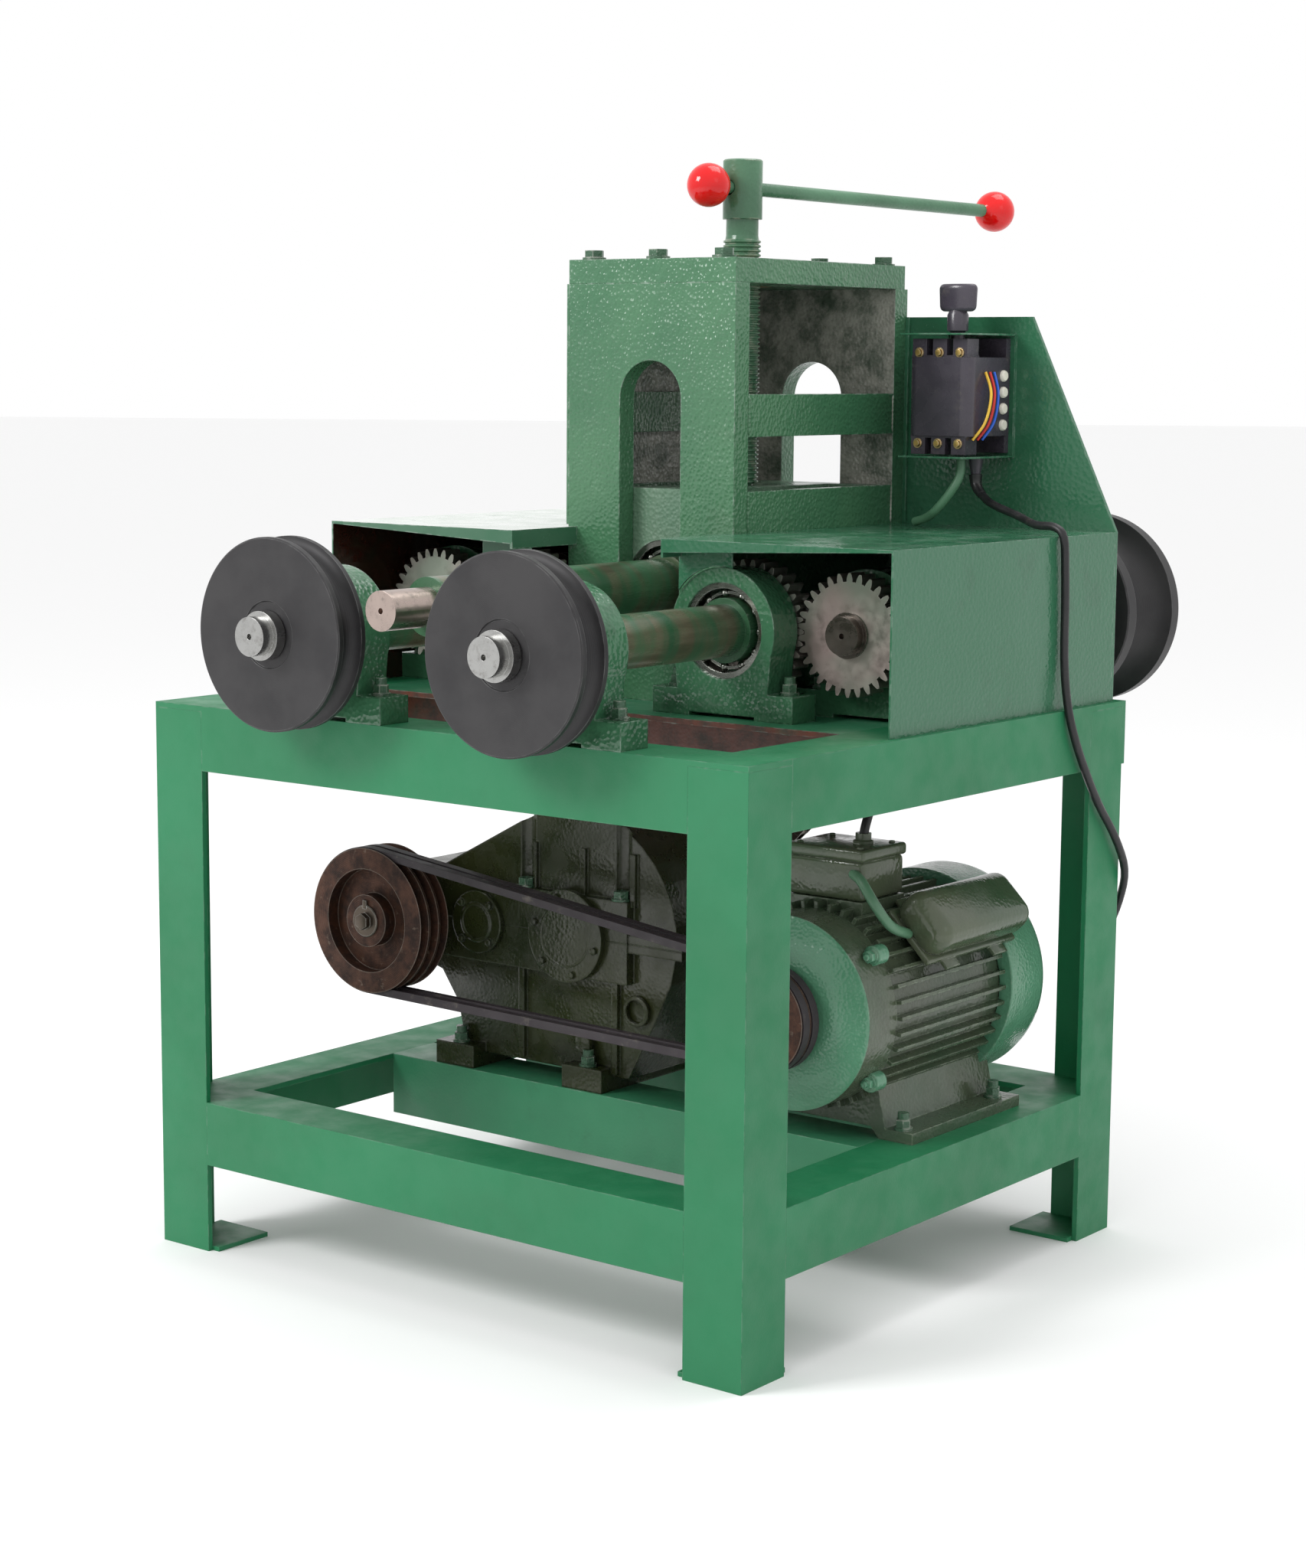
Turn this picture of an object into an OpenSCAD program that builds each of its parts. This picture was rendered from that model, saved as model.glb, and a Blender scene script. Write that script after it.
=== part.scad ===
// Electric three-roll bending machine for pipe and section: a welded stand of angle iron carries
// a motor, a belt and a two-stage gearbox below, and geared roller shafts, a press tower and a
// drum switch above. Millimetres, +Z up, origin on the floor under the middle of the stand,
// front of the machine towards -Y.

/* [Stand] */
// Width of the stand along its front
stand_w = 790; // [720:2:980]
// Depth of the stand from front to back
stand_d = 704; // [660:2:860]
// Height of the top rails above the floor
stand_h = 600; // [500:2:760]
// Flange width of the angle iron
angle_w = 70; // [50:1:90]
// Thickness of the angle iron
angle_t = 6; // [4:0.5:10]
// Underside of the lower rails above the floor
low_rail_z = 97; // [60:1:160]
// Side of each square foot plate
foot_side = 74; // [50:1:100]
// Thickness of the foot plates
foot_t = 5; // [3:0.5:12]

/* [Roller shafts] */
// Distance from the centre line to each front roller shaft
front_x = 155; // [150:1:170]
// Height of the roller shafts above the deck
shaft_h = 91; // [85:1:110]
// Radius of the shafts in their bearings
shaft_r = 27.5; // [25:0.5:30]
// Radius of the shaft ends that carry the rollers
end_r = 20; // [15:0.5:24]
// Overhang of the front roller shafts past the stand
front_overhang = 94; // [70:1:130]
// Outer radius of the front rollers
roller_r = 98.5; // [80:0.5:120]
// Width of the front rollers
roller_w = 40; // [30:1:60]
// Radius of the pipe groove in the front rollers
groove_r = 13; // [8:0.5:16]
// Outer radius of the rear rollers
rear_roller_r = 108; // [90:0.5:120]
// Width of the rear rollers
rear_roller_w = 106; // [60:1:130]

/* [Gears] */
// Module of the roller gears
gear_m = 4; // [4:0.5:4]
// Teeth on each front roller shaft gear
roller_teeth = 34; // [30:1:36]
// Teeth on each outer shaft gear
outer_teeth = 30; // [26:1:32]
// Width of the roller gears
gear_w = 25; // [15:1:28]
// Teeth on the gearbox sprockets
drive_sprocket = 13; // [11:1:14]
// Teeth on the outer shaft sprockets
driven_sprocket = 17; // [15:1:18]
// Pitch of the roller chains
chain_pitch = 15.875; // [12.7:3.175:15.875]

/* [Press tower] */
// Width of the tower plates
tower_w = 226; // [210:1:250]
// Height of the tower plates above the deck
tower_h = 450; // [400:1:520]
// Depth of the tower over both plates
tower_d = 330; // [300:1:340]
// Thickness of the tower plates
tower_t = 25; // [16:1:30]
// Width of the arched slots
slot_w = 83; // [70:1:90]
// Thickness of the top plate
top_t = 26; // [20:1:35]
// Height of the upper shaft above the deck at rest
upper_h = 124; // [110:1:150]
// Radius of the press screw over its thread
screw_r = 21; // [16:0.5:24]
// Pitch of the press screw
screw_pitch = 5; // [4:0.5:6]
// Length of the turning bar
bar_length = 474; // [300:2:560]
// Radius of the turning bar
bar_r = 7.5; // [5:0.5:8]
// Radius of the balls on the turning bar
ball_r = 24; // [18:0.5:28]

/* [Covers] */
// Height of the gear covers above the deck
cover_h = 186; // [176:1:230]
// Sheet thickness of the gear covers
sheet_t = 2; // [1:0.5:4]
// Height of the switch panel above the deck
panel_h = 419; // [350:1:480]

/* [Drive] */
// Distance from the centre line to the motor shaft
motor_x = 245; // [240:1:255]
// Height of the motor shaft above the lower rails
motor_h = 133; // [120:1:150]
// Radius of the motor body over its ribs
motor_r = 110; // [95:1:115]
// Height of the gearbox shafts above the lower rails
gearbox_h = 170; // [165:1:190]
// Outer radius of the gearbox pulley
pulley_r = 83; // [70:1:90]
// Outer radius of the motor pulley
motor_pulley_r = 55; // [40:1:60]

/* [Switch and cord] */
// Size of the switch bracket across
bracket_w = 88; // [80:1:110]
// Radius of the mains cord
cord_r = 4.5; // [3:0.5:6]
// Radius of the green cable
cable_r = 5; // [3:0.5:6]

/* [Hidden] */
$fn = 48;
fit = 0.05;
clear = 0.3;
half_w = stand_w / 2;
half_d = stand_d / 2;
low_z = low_rail_z + angle_w;
deck_z = stand_h;
flange_z = deck_z - angle_t;
shaft_z = deck_z + shaft_h;
upper_z = deck_z + upper_h;
roller_pitch_r = gear_m * roller_teeth / 2;
outer_pitch_r = gear_m * outer_teeth / 2;
outer_x = front_x + roller_pitch_r + outer_pitch_r;

// bearings: bore, outside radius and width of every shaft bearing
bearing_out = 50;
bearing_w = 21;
race_in = 34;
race_out = 44;
ball_ring_r = 39.2;
race_ball_r = 4.75;
ball_n = 11;
bolt_r = 6;

// pillow blocks
block_w = 42;
block_foot = 180;
block_r = 66;
block_bolt_x = 72;
block_foot_h = 28;
front_block_y = -half_d;
mid_block_y = -70;
outer_block_y = 10;
rear_block_y = half_d - 64;
cross_y = -100;
gear_y = -26;

// front roller and shaft stations
shaft_front = -half_d - front_overhang;
roller_front = shaft_front + 26;
shaft_back = gear_y + gear_w + 6;

// outer shafts
outer_front = gear_y - 13;
rear_roller_y = half_d + 26;
outer_back = rear_roller_y + rear_roller_w + 14;

// tower
tower_y = 5;
tower_back = tower_y + tower_d;
tower_top = deck_z + tower_h;
top_z = tower_top + top_t;
slot_r = slot_w / 2;
arch_z = tower_top - 82 - slot_r;
press_y = tower_y + tower_d / 2;
guide_w = tower_w - 20;
carriage_w = guide_w - 2 * clear;
carriage_z = upper_z - 60;
carriage_top = upper_z + 106;
carriage_t = 27;
head_z = top_z + 48;
head_h = 65;
bar_z = head_z + 34;
bar_angle = 80;
bar_tilt = 1.2;
bar_short = 52;
tower_bolt_x = [-88, 0, 88];

// covers
cover_x = half_w - 8;
cover_front = cross_y - 5;
cover_back = tower_back + 3;
cover_z = deck_z + cover_h;
inner_x = tower_w / 2 + 0.5;
strip_x = 101;
left_inset = 18;
panel_y = cover_back + 2;

// gearbox: three shafts in one row
gearbox_z = low_z + gearbox_h;
stage1_m = 2;
stage1_pinion = 16;
stage1_wheel = 84;
stage2_m = 2.5;
stage2_pinion = 14;
stage2_wheel = 90;
output_x = -72;
mid_x = output_x - stage2_m * (stage2_pinion + stage2_wheel) / 2;
input_x = mid_x - stage1_m * (stage1_pinion + stage1_wheel) / 2;
box_y = -30;
box_d = 180;
box_wall = 10;
box_foot_h = 26;
sprocket_half = 4.65;
chain_y_right = box_y + box_d + 22;
chain_y_left = chain_y_right + 26;
drive_pitch_r = chain_pitch / (2 * sin(180 / drive_sprocket));
driven_pitch_r = chain_pitch / (2 * sin(180 / driven_sprocket));

// belt drive
pulley_w = 48;
pulley_y = box_y - 46 - pulley_w;
belt_h = 9;
belt_pitch = 16;
belt_sink = 8;

// motor
motor_z = low_z + motor_h;
motor_front = -72;
motor_len = 275;
foot_half = 120;
motor_foot_h = 12;

// bolts through the flat flanges, as [x, y]
front_bolts = [for (x = [-1, 1]) for (k = [-1, 1])
    [x * front_x + k * block_bolt_x, front_block_y + block_w / 2]];
mid_bolts = [for (x = [-1, 1]) for (k = [-1, 1])
    [x * front_x + k * block_bolt_x, mid_block_y + block_w / 2]];
outer_bolts = [for (x = [-1, 1]) for (k = [-1, 1]) for (y = [outer_block_y, rear_block_y])
    [x * outer_x + k * block_bolt_x, y + block_w / 2]];
motor_bolts = [for (k = [-1, 1]) for (y = [-4, 174]) [motor_x + k * 102, y]];
box_bolts = [for (x = [mid_x - 30, output_x + 27]) for (y = [box_y - 10, box_y + box_d + 10])
    [x, y]];

// switch
switch_x = 212;
bracket_y = panel_y - 103;
bracket_z = deck_z + 264;
bracket_h = 136;
knob_y = panel_y - 55;

// ---- helpers ----

// a cylinder along +Y from y0 to y1
module rod(r, y0, y1, x = 0, z = 0) {
    translate([x, y0, z])
        rotate([-90, 0, 0])
            cylinder(r = r, h = y1 - y0);
}

// a ring along +Y
module ring(ro, ri, y0, y1, x = 0, z = 0) {
    difference() {
        rod(ro, y0, y1, x, z);
        rod(ri, y0 - 1, y1 + 1, x, z);
    }
}

// a flat shape drawn in X and Z, given thickness from y0 to y1
module slab(y0, y1) {
    translate([0, y1, 0])
        rotate([90, 0, 0])
            linear_extrude(height = y1 - y0)
                children();
}

// the same piece on the left and the right of the centre line
module both_sides() {
    children();
    mirror([1, 0, 0])
        children();
}

// a hex bolt head or nut with its washer, standing on z
module hex_up(x, y, z, af, h) {
    translate([x, y, z])
        cylinder(r = af * 0.68, h = 2.5);
    translate([x, y, z + 2.5])
        cylinder(r = af * 0.577, h = h, $fn = 6);
}

// a foot bolt at p = [x, y]: nut, washer and thread end above z, head under the flange
module foot_bolt(p, z, grip) {
    head = 1.2 * bolt_r;
    hex_up(p[0], p[1], z, 2.4 * bolt_r, 1.4 * bolt_r);
    translate([p[0], p[1], z - grip - head])
        cylinder(r = bolt_r, h = grip + head + 2.4 * bolt_r + 4);
    translate([p[0], p[1], z - grip - head])
        cylinder(r = 1.36 * bolt_r, h = head, $fn = 6);
}

// ---- stand ----

module stand_legs() {
    color("seagreen")
        both_sides()
            for (side = [-1, 1])
                scale([1, side, 1])
                    translate([half_w - angle_w, half_d - angle_w, 0])
                        difference() {
                            cube([angle_w, angle_w, flange_z]);
                            translate([-1, -1, -1])
                                cube([angle_w - angle_t + 1, angle_w - angle_t + 1, flange_z + 2]);
                        }
}

module foot_plates() {
    color("seagreen")
        both_sides()
            for (y = [-half_d + angle_t, half_d - angle_t - foot_side])
                translate([half_w - angle_t - foot_side, y, 0])
                    cube([foot_side, foot_side, foot_t]);
}

// clearance holes through a flange whose top is at z
module flange_holes(points, z) {
    for (p = points)
        translate([p[0], p[1], z - angle_t - 1])
            cylinder(r = bolt_r + 0.5, h = angle_t + 2);
}

module top_rail_front() {
    color("seagreen")
        difference() {
            union() {
                translate([-half_w, -half_d, flange_z])
                    cube([stand_w, angle_w, angle_t]);
                translate([-half_w + angle_w, -half_d, deck_z - angle_w])
                    cube([stand_w - 2 * angle_w, angle_t, angle_w - angle_t]);
            }
            flange_holes(front_bolts, deck_z);
        }
}

// the back rail laps over the outside of the back legs
module top_rail_back() {
    color("seagreen")
        difference() {
            union() {
                translate([-half_w, half_d + angle_t - angle_w, flange_z])
                    cube([stand_w, angle_w, angle_t]);
                translate([-half_w, half_d, deck_z - angle_w])
                    cube([stand_w, angle_t, angle_w - angle_t]);
            }
            flange_holes(outer_bolts, deck_z);
        }
}

// upper and lower rails of both sides
module side_rails() {
    rail = stand_d - 2 * angle_w;
    color("seagreen")
        difference() {
            both_sides() {
                translate([half_w - angle_w, -half_d + angle_w, flange_z])
                    cube([angle_w, rail + angle_t, angle_t]);
                translate([half_w - angle_t, -half_d + angle_w, deck_z - angle_w])
                    cube([angle_t, rail, angle_w - angle_t]);
                translate([half_w - angle_t, -half_d + angle_w, low_rail_z])
                    cube([angle_t, rail, angle_w]);
                translate([half_w - angle_w, -half_d + angle_w, low_z - angle_t])
                    cube([angle_w - angle_t, rail, angle_t]);
            }
            flange_holes(outer_bolts, deck_z);
            flange_holes(motor_bolts, low_z);
        }
}

// lower rails along the front and the back
module lower_rails() {
    color("seagreen")
        for (side = [-1, 1])
            scale([1, side, 1]) {
                translate([-half_w + angle_w, half_d - angle_t, low_rail_z])
                    cube([stand_w - 2 * angle_w, angle_t, angle_w]);
                translate([-half_w + angle_t, half_d - angle_w, low_z - angle_t])
                    cube([stand_w - 2 * angle_t, angle_w - angle_t, angle_t]);
            }
}

// an angle across the stand: flat flange on top, upright flange at y_web
module cross_angle(y, z, y_web) {
    translate([-half_w + angle_w, y, z - angle_t])
        cube([stand_w - 2 * angle_w, angle_w, angle_t]);
    translate([-half_w + angle_w, y_web, z - angle_w])
        cube([stand_w - 2 * angle_w, angle_t, angle_w - angle_t]);
}

// two angles under the gearbox and the motor, one under the deck
module cross_members() {
    color("seagreen")
        difference() {
            union() {
                cross_angle(-55, low_z, -55);
                cross_angle(120, low_z, 120 + angle_w - angle_t);
                cross_angle(cross_y, deck_z, cross_y + angle_w - angle_t);
            }
            flange_holes(mid_bolts, deck_z);
            flange_holes(motor_bolts, low_z);
            flange_holes(box_bolts, low_z);
        }
}

// the deck behind the cross angle, with one slot for each chain
module deck_plate() {
    deck_front = cross_y + angle_w;
    deck_back = half_d + angle_t - angle_w;
    color("seagreen")
        difference() {
            translate([-half_w + angle_w, deck_front, flange_z])
                cube([stand_w - 2 * angle_w, deck_back - deck_front, angle_t]);
            translate([tower_w / 2 + 4, chain_y_right - 14, flange_z - 1])
                cube([150, 28, angle_t + 2]);
            translate([-310, chain_y_left - 14, flange_z - 1])
                cube([160, 28, angle_t + 2]);
            flange_holes(outer_bolts, deck_z);
        }
}

// ---- pillow blocks and bearings ----

// front view of a block: foot with two pads, tapering up to the round housing
module block_outline(h) {
    difference() {
        union() {
            translate([0, h])
                circle(r = block_r);
            polygon([[-block_r + 8, 26], [block_r - 8, 26], [block_r - 2, h], [-block_r + 2, h]]);
            translate([-block_foot / 2, 0])
                square([block_foot, block_foot_h]);
        }
        translate([-42, -1])
            square([84, 5]);
    }
}

module pillow_block(x, y, h) {
    difference() {
        translate([x, 0, deck_z])
            slab(y, y + block_w)
                block_outline(h);
        rod(bearing_out + fit, y - 1, y + 24, x, deck_z + h);
        rod(bearing_out - 8, y, y + block_w + 1, x, deck_z + h);
        for (side = [-1, 1])
            translate([x + side * block_bolt_x, y + block_w / 2, deck_z - 1])
                cylinder(r = bolt_r + 0.5, h = block_foot_h + 2);
    }
}

module front_pillow_blocks() {
    color("darkseagreen")
        both_sides()
            pillow_block(front_x, front_block_y, shaft_h);
}

module mid_pillow_blocks() {
    color("darkseagreen")
        both_sides()
            pillow_block(front_x, mid_block_y, shaft_h);
}

module outer_pillow_blocks() {
    color("darkseagreen")
        both_sides()
            for (y = [outer_block_y, rear_block_y])
                pillow_block(outer_x, y, shaft_h);
}

// outer race of one bearing
module outer_race(x, y, z) {
    difference() {
        rod(bearing_out, y, y + bearing_w, x, z);
        rod(race_out, y - 1, y + bearing_w + 1, x, z);
    }
}

// inner race, held on its shaft
module inner_race(x, y, z) {
    ring(race_in, shaft_r, y, y + bearing_w, x, z);
}

// balls of one bearing joined by their cage
module ball_set(x, y, z) {
    translate([x, y + bearing_w / 2, z])
        rotate([90, 0, 0])
            union() {
                translate([0, 0, -1.5])
                    difference() {
                        cylinder(r = ball_ring_r + 1.5, h = 3);
                        translate([0, 0, -1])
                            cylinder(r = ball_ring_r - 1.5, h = 5);
                    }
                for (i = [0 : ball_n - 1])
                    rotate([0, 0, i * 360 / ball_n])
                        translate([ball_ring_r, 0, 0])
                            sphere(r = race_ball_r, $fn = 24);
            }
}

// outer race and balls of one shaft bearing
module bearing(x, y, z) {
    outer_race(x, y, z);
    ball_set(x, y, z);
}

// bearings sit 3 mm inside the front of every block
module bearings() {
    color("silver")
        both_sides() {
            for (y = [front_block_y, mid_block_y])
                bearing(front_x, y + 3, shaft_z);
            for (y = [outer_block_y, rear_block_y])
                bearing(outer_x, y + 3, shaft_z);
        }
}

module block_bolts() {
    color("darkseagreen")
        for (p = concat(front_bolts, mid_bolts, outer_bolts))
            foot_bolt(p, deck_z + block_foot_h, block_foot_h + angle_t);
}

// ---- press tower ----

module tower_plate(y) {
    difference() {
        translate([-tower_w / 2, y, deck_z])
            cube([tower_w, tower_t, tower_h]);
        rod(slot_r, y - 1, y + tower_t + 1, 0, arch_z);
        translate([-slot_r, y - 1, deck_z + 44])
            cube([slot_w, tower_t + 2, arch_z - deck_z - 44]);
        for (x = tower_bolt_x)
            translate([x, y + tower_t / 2, tower_top - 30])
                cylinder(r = bolt_r + fit, h = 40);
    }
}

module tower_front_plate() {
    color("darkseagreen")
        tower_plate(tower_y);
}

module tower_back_plate() {
    color("darkseagreen")
        tower_plate(tower_back - tower_t);
}

// on each side one bar half way up and one deep plate at the foot, and a sheet that closes
// the left side above the cover
module tower_side_bars() {
    inside = tower_d - 2 * tower_t;
    color("darkseagreen")
        both_sides()
            translate([tower_w / 2 - 10, tower_y + tower_t, 0]) {
                translate([0, 0, deck_z + 288])
                    cube([10, inside, 45]);
                translate([0, 0, deck_z])
                    cube([10, inside, 230]);
            }
    color("darkseagreen")
        translate([-tower_w / 2 - 3, tower_y, cover_z + 2])
            cube([3, tower_d, tower_top - cover_z - 2]);
}

module tower_top_plate() {
    color("darkseagreen")
        difference() {
            translate([-tower_w / 2, tower_y, tower_top])
                cube([tower_w, tower_d - 6, top_t]);
            translate([0, press_y, tower_top - 1])
                cylinder(r = 34, h = top_t + 2);
            for (x = tower_bolt_x)
                for (y = [tower_y, tower_back - tower_t])
                    translate([x, y + tower_t / 2, tower_top - 1])
                        cylinder(r = bolt_r + fit, h = top_t + 2);
        }
}

module tower_bolts() {
    color("darkseagreen")
        for (x = tower_bolt_x)
            for (y = [tower_y, tower_back - tower_t]) {
                hex_up(x, y + tower_t / 2, top_z, 19, 7.5);
                translate([x, y + tower_t / 2, tower_top - 30])
                    cylinder(r = bolt_r, h = 30 + top_t + 1);
            }
}

// threaded bush pressed into the top plate
module press_nut() {
    color("goldenrod")
        difference() {
            translate([0, press_y, tower_top])
                cylinder(r = 34, h = top_t);
            translate([0, press_y, tower_top - 1])
                cylinder(r = screw_r + 0.1, h = top_t + 2);
        }
}

// two bearing walls joined along the top, sliding between the tower plates
module carriage() {
    front = tower_y + tower_t + clear;
    back = tower_back - tower_t - clear;
    color("gray")
        difference() {
            union() {
                translate([-carriage_w / 2, front, carriage_z])
                    cube([carriage_w, carriage_t, carriage_top - carriage_z]);
                translate([-carriage_w / 2, back - carriage_t, carriage_z])
                    cube([carriage_w, carriage_t, carriage_top - carriage_z]);
                translate([-45, front + carriage_t, carriage_top - 36])
                    cube([90, back - front - 2 * carriage_t, 36]);
            }
            rod(bearing_out + fit, front - 1, front + 24, 0, upper_z);
            rod(bearing_out + fit, back - 24, back + 1, 0, upper_z);
            rod(42, front, back, 0, upper_z);
            translate([0, press_y, carriage_top - 24])
                cylinder(r = 15, h = 30);
        }
}

module carriage_bearings() {
    front = tower_y + tower_t + clear + 2;
    back = tower_back - tower_t - clear - 2 - bearing_w;
    color("silver")
        for (y = [front, back])
            bearing(0, y, upper_z);
}

// upper shaft with its two inner races; its ends take the upper rollers
module upper_shaft() {
    front = tower_y + tower_t + clear + 2;
    back = tower_back - tower_t - clear - 2 - bearing_w;
    shaft_start = -half_d - 68;
    color("darkseagreen") {
        difference() {
            union() {
                rod(end_r, shaft_start, -half_d, 0, upper_z);
                rod(shaft_r + 2.5, -half_d, front - 6, 0, upper_z);
                rod(shaft_r, front - 6, back + bearing_w + 6, 0, upper_z);
                rod(33, front + bearing_w, back, 0, upper_z);
                rod(shaft_r + 2.5, back + bearing_w + 6, half_d + 8, 0, upper_z);
                rod(end_r, half_d + 8, half_d + 90, 0, upper_z);
            }
            rod(3, shaft_start - 1, shaft_start + 8, 0, upper_z);
        }
        inner_race(0, front, upper_z);
        inner_race(0, back, upper_z);
    }
}

// ridges of the thread as a zigzag down one side
function ridges(z0, z1, r, pitch, depth) = [
    for (i = [0 : floor((z1 - z0) / pitch) - 1])
        for (k = [0 : 3])
            [k < 1 ? r - depth : k < 3 ? r : r - depth,
             z0 + i * pitch + [0.1, 0.35, 0.65, 0.9][k] * pitch]];

module press_screw() {
    foot = carriage_top - 22;
    neck = head_z - 18;
    start = carriage_top + 2;
    color("darkseagreen")
        difference() {
            translate([0, press_y, 0])
                rotate_extrude()
                    polygon(concat(
                        [[0, foot], [14.9, foot], [14.9, start], [screw_r - 2.5, start]],
                        ridges(start, neck, screw_r, screw_pitch, 2.2),
                        [[18, neck], [18, head_z], [22, head_z], [22, head_z + head_h - 1.5],
                         [20.5, head_z + head_h], [0, head_z + head_h]]));
            translate([0, press_y, bar_z])
                rotate([0, 0, bar_angle])
                    rotate([0, 90, 0])
                        cylinder(r = bar_r + 1, h = 60, center = true);
        }
}

// place things along the turning bar, which leans a little in its hole
module on_bar() {
    translate([0, press_y, bar_z])
        rotate([0, 0, bar_angle])
            rotate([0, bar_tilt, 0])
                children();
}

module turning_bar() {
    color("darkseagreen")
        on_bar()
            translate([-bar_short, 0, 0])
                rotate([0, 90, 0])
                    cylinder(r = bar_r, h = bar_length);
}

module bar_balls() {
    color("red")
        on_bar()
            for (x = [-bar_short, bar_length - bar_short])
                difference() {
                    translate([x, 0, 0])
                        sphere(r = ball_r, $fn = 48);
                    translate([-bar_short, 0, 0])
                        rotate([0, 90, 0])
                            cylinder(r = bar_r, h = bar_length);
                }
}

// ---- front rollers ----

// shaft with inner races and a retaining ring in front of the roller
module roller_shaft(x) {
    difference() {
        union() {
            rod(end_r, shaft_front, roller_front + roller_w, x, shaft_z);
            rod(shaft_r, roller_front + roller_w, gear_y, x, shaft_z);
            rod(25, gear_y, shaft_back, x, shaft_z);
        }
        rod(3, shaft_front - 1, shaft_front + 8, x, shaft_z);
    }
    ring(end_r + 5, end_r, roller_front - 12, roller_front, x, shaft_z);
    for (y = [front_block_y, mid_block_y])
        inner_race(x, y + 3, shaft_z);
    ring(30, 25, gear_y + gear_w, gear_y + gear_w + 2.5, x, shaft_z);
}

module roller_shaft_left() {
    color("darkseagreen")
        roller_shaft(-front_x);
}

module roller_shaft_right() {
    color("darkseagreen")
        roller_shaft(front_x);
}

// half section of a roller along its axis, from the front face back
function roller_section(r_front, r_back, w, groove, bore) = [
    [bore, 0], [r_front - 1.5, 0], [r_front, 1.5], [r_front, w / 2 - groove],
    for (a = [15 : 15 : 165])
        [r_front + (r_back - r_front) * a / 180 - groove * sin(a), w / 2 - groove * cos(a)],
    [r_back, w / 2 + groove], [r_back, w - 1.5], [r_back - 1.5, w], [bore, w]];

module front_roller(x) {
    translate([x, roller_front, shaft_z])
        rotate([-90, 0, 0])
            rotate_extrude($fn = 96)
                polygon(roller_section(roller_r, roller_r, roller_w, groove_r, end_r));
}

module roller_left() {
    color("dimgray")
        front_roller(-front_x);
}

module roller_right() {
    color("dimgray")
        front_roller(front_x);
}

// ---- gears ----

// one flank of an involute tooth: radius and half angle at each step from root to tip
function inv(a) = tan(a) * 180 / PI - a;
function flank_angle(r, pitch_r, teeth, slack) =
    let (base = pitch_r * cos(20), a = acos(min(1, base / max(r, base))))
        90 / teeth - slack / pitch_r * 28.65 + inv(20) - inv(a);
function gear_points(m, teeth, slack, steps) =
    let (pitch_r = m * teeth / 2,
         root = pitch_r - 1.25 * m,
         tip = pitch_r + 0.97 * m,
         radii = [for (i = [0 : steps]) root + (tip - root) * i / steps])
        [for (k = [0 : teeth - 1])
            each concat(
                [for (i = [0 : steps])
                    let (a = k * 360 / teeth - flank_angle(radii[i], pitch_r, teeth, slack))
                        radii[i] * [cos(a), sin(a)]],
                [for (i = [steps : -1 : 0])
                    let (a = k * 360 / teeth + flank_angle(radii[i], pitch_r, teeth, slack))
                        radii[i] * [cos(a), sin(a)]])];

// a spur gear along Y with a tooth or a gap turned to the mesh side
module spur_gear(m, teeth, x, y, z, w, bore, phase, slack = 0.4, steps = 4) {
    difference() {
        translate([x, 0, z])
            slab(y, y + w)
                rotate([0, 0, phase])
                    polygon(gear_points(m, teeth, slack, steps));
        rod(bore, y - 1, y + w + 1, x, z);
    }
}

module roller_gear_left() {
    color("rosybrown")
        spur_gear(gear_m, roller_teeth, -front_x, gear_y, shaft_z, gear_w, 25, 180);
}

module roller_gear_right() {
    color("rosybrown")
        spur_gear(gear_m, roller_teeth, front_x, gear_y, shaft_z, gear_w, 25, 0);
}

module outer_gear_left() {
    color("rosybrown")
        spur_gear(gear_m, outer_teeth, -outer_x, gear_y, shaft_z, gear_w, end_r,
            180 / outer_teeth);
}

module outer_gear_right() {
    color("rosybrown")
        spur_gear(gear_m, outer_teeth, outer_x, gear_y, shaft_z, gear_w, end_r,
            180 + 180 / outer_teeth);
}

// ---- outer shafts with sprockets and rear rollers ----

// a chain wheel with one tooth for every link
module sprocket(teeth, pitch_r, x, y, z, bore) {
    difference() {
        translate([x, 0, z])
            slab(y - sprocket_half, y + sprocket_half)
                polygon([for (i = [0 : teeth * 4 - 1])
                    let (r = pitch_r + [4.5, 0.5, -5, 0.5][i % 4], a = i * 90 / teeth)
                        r * [cos(a), sin(a)]]);
        rod(bore, y - sprocket_half - 1, y + sprocket_half + 1, x, z);
    }
}

module outer_shaft(x, chain_y) {
    difference() {
        union() {
            rod(end_r, outer_front, outer_block_y, x, shaft_z);
            rod(shaft_r, outer_block_y, rear_roller_y, x, shaft_z);
            rod(end_r, rear_roller_y, outer_back, x, shaft_z);
        }
        rod(3, outer_front - 1, outer_front + 8, x, shaft_z);
    }
    ring(end_r + 4, end_r, gear_y - 3, gear_y, x, shaft_z);
    ring(end_r + 7, end_r, gear_y + gear_w, outer_block_y, x, shaft_z);
    ring(end_r + 4, end_r, rear_roller_y + rear_roller_w, rear_roller_y + rear_roller_w + 3,
        x, shaft_z);
    for (y = [outer_block_y, rear_block_y])
        inner_race(x, y + 3, shaft_z);
    sprocket(driven_sprocket, driven_pitch_r, x, chain_y, shaft_z, shaft_r);
}

module outer_shaft_left() {
    color("darkseagreen")
        outer_shaft(-outer_x, chain_y_left);
}

module outer_shaft_right() {
    color("darkseagreen")
        outer_shaft(outer_x, chain_y_right);
}

module rear_roller(x) {
    translate([x, rear_roller_y, shaft_z])
        rotate([-90, 0, 0])
            rotate_extrude($fn = 96)
                polygon(roller_section(rear_roller_r - 6, rear_roller_r, rear_roller_w, 36,
                    end_r));
}

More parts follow.
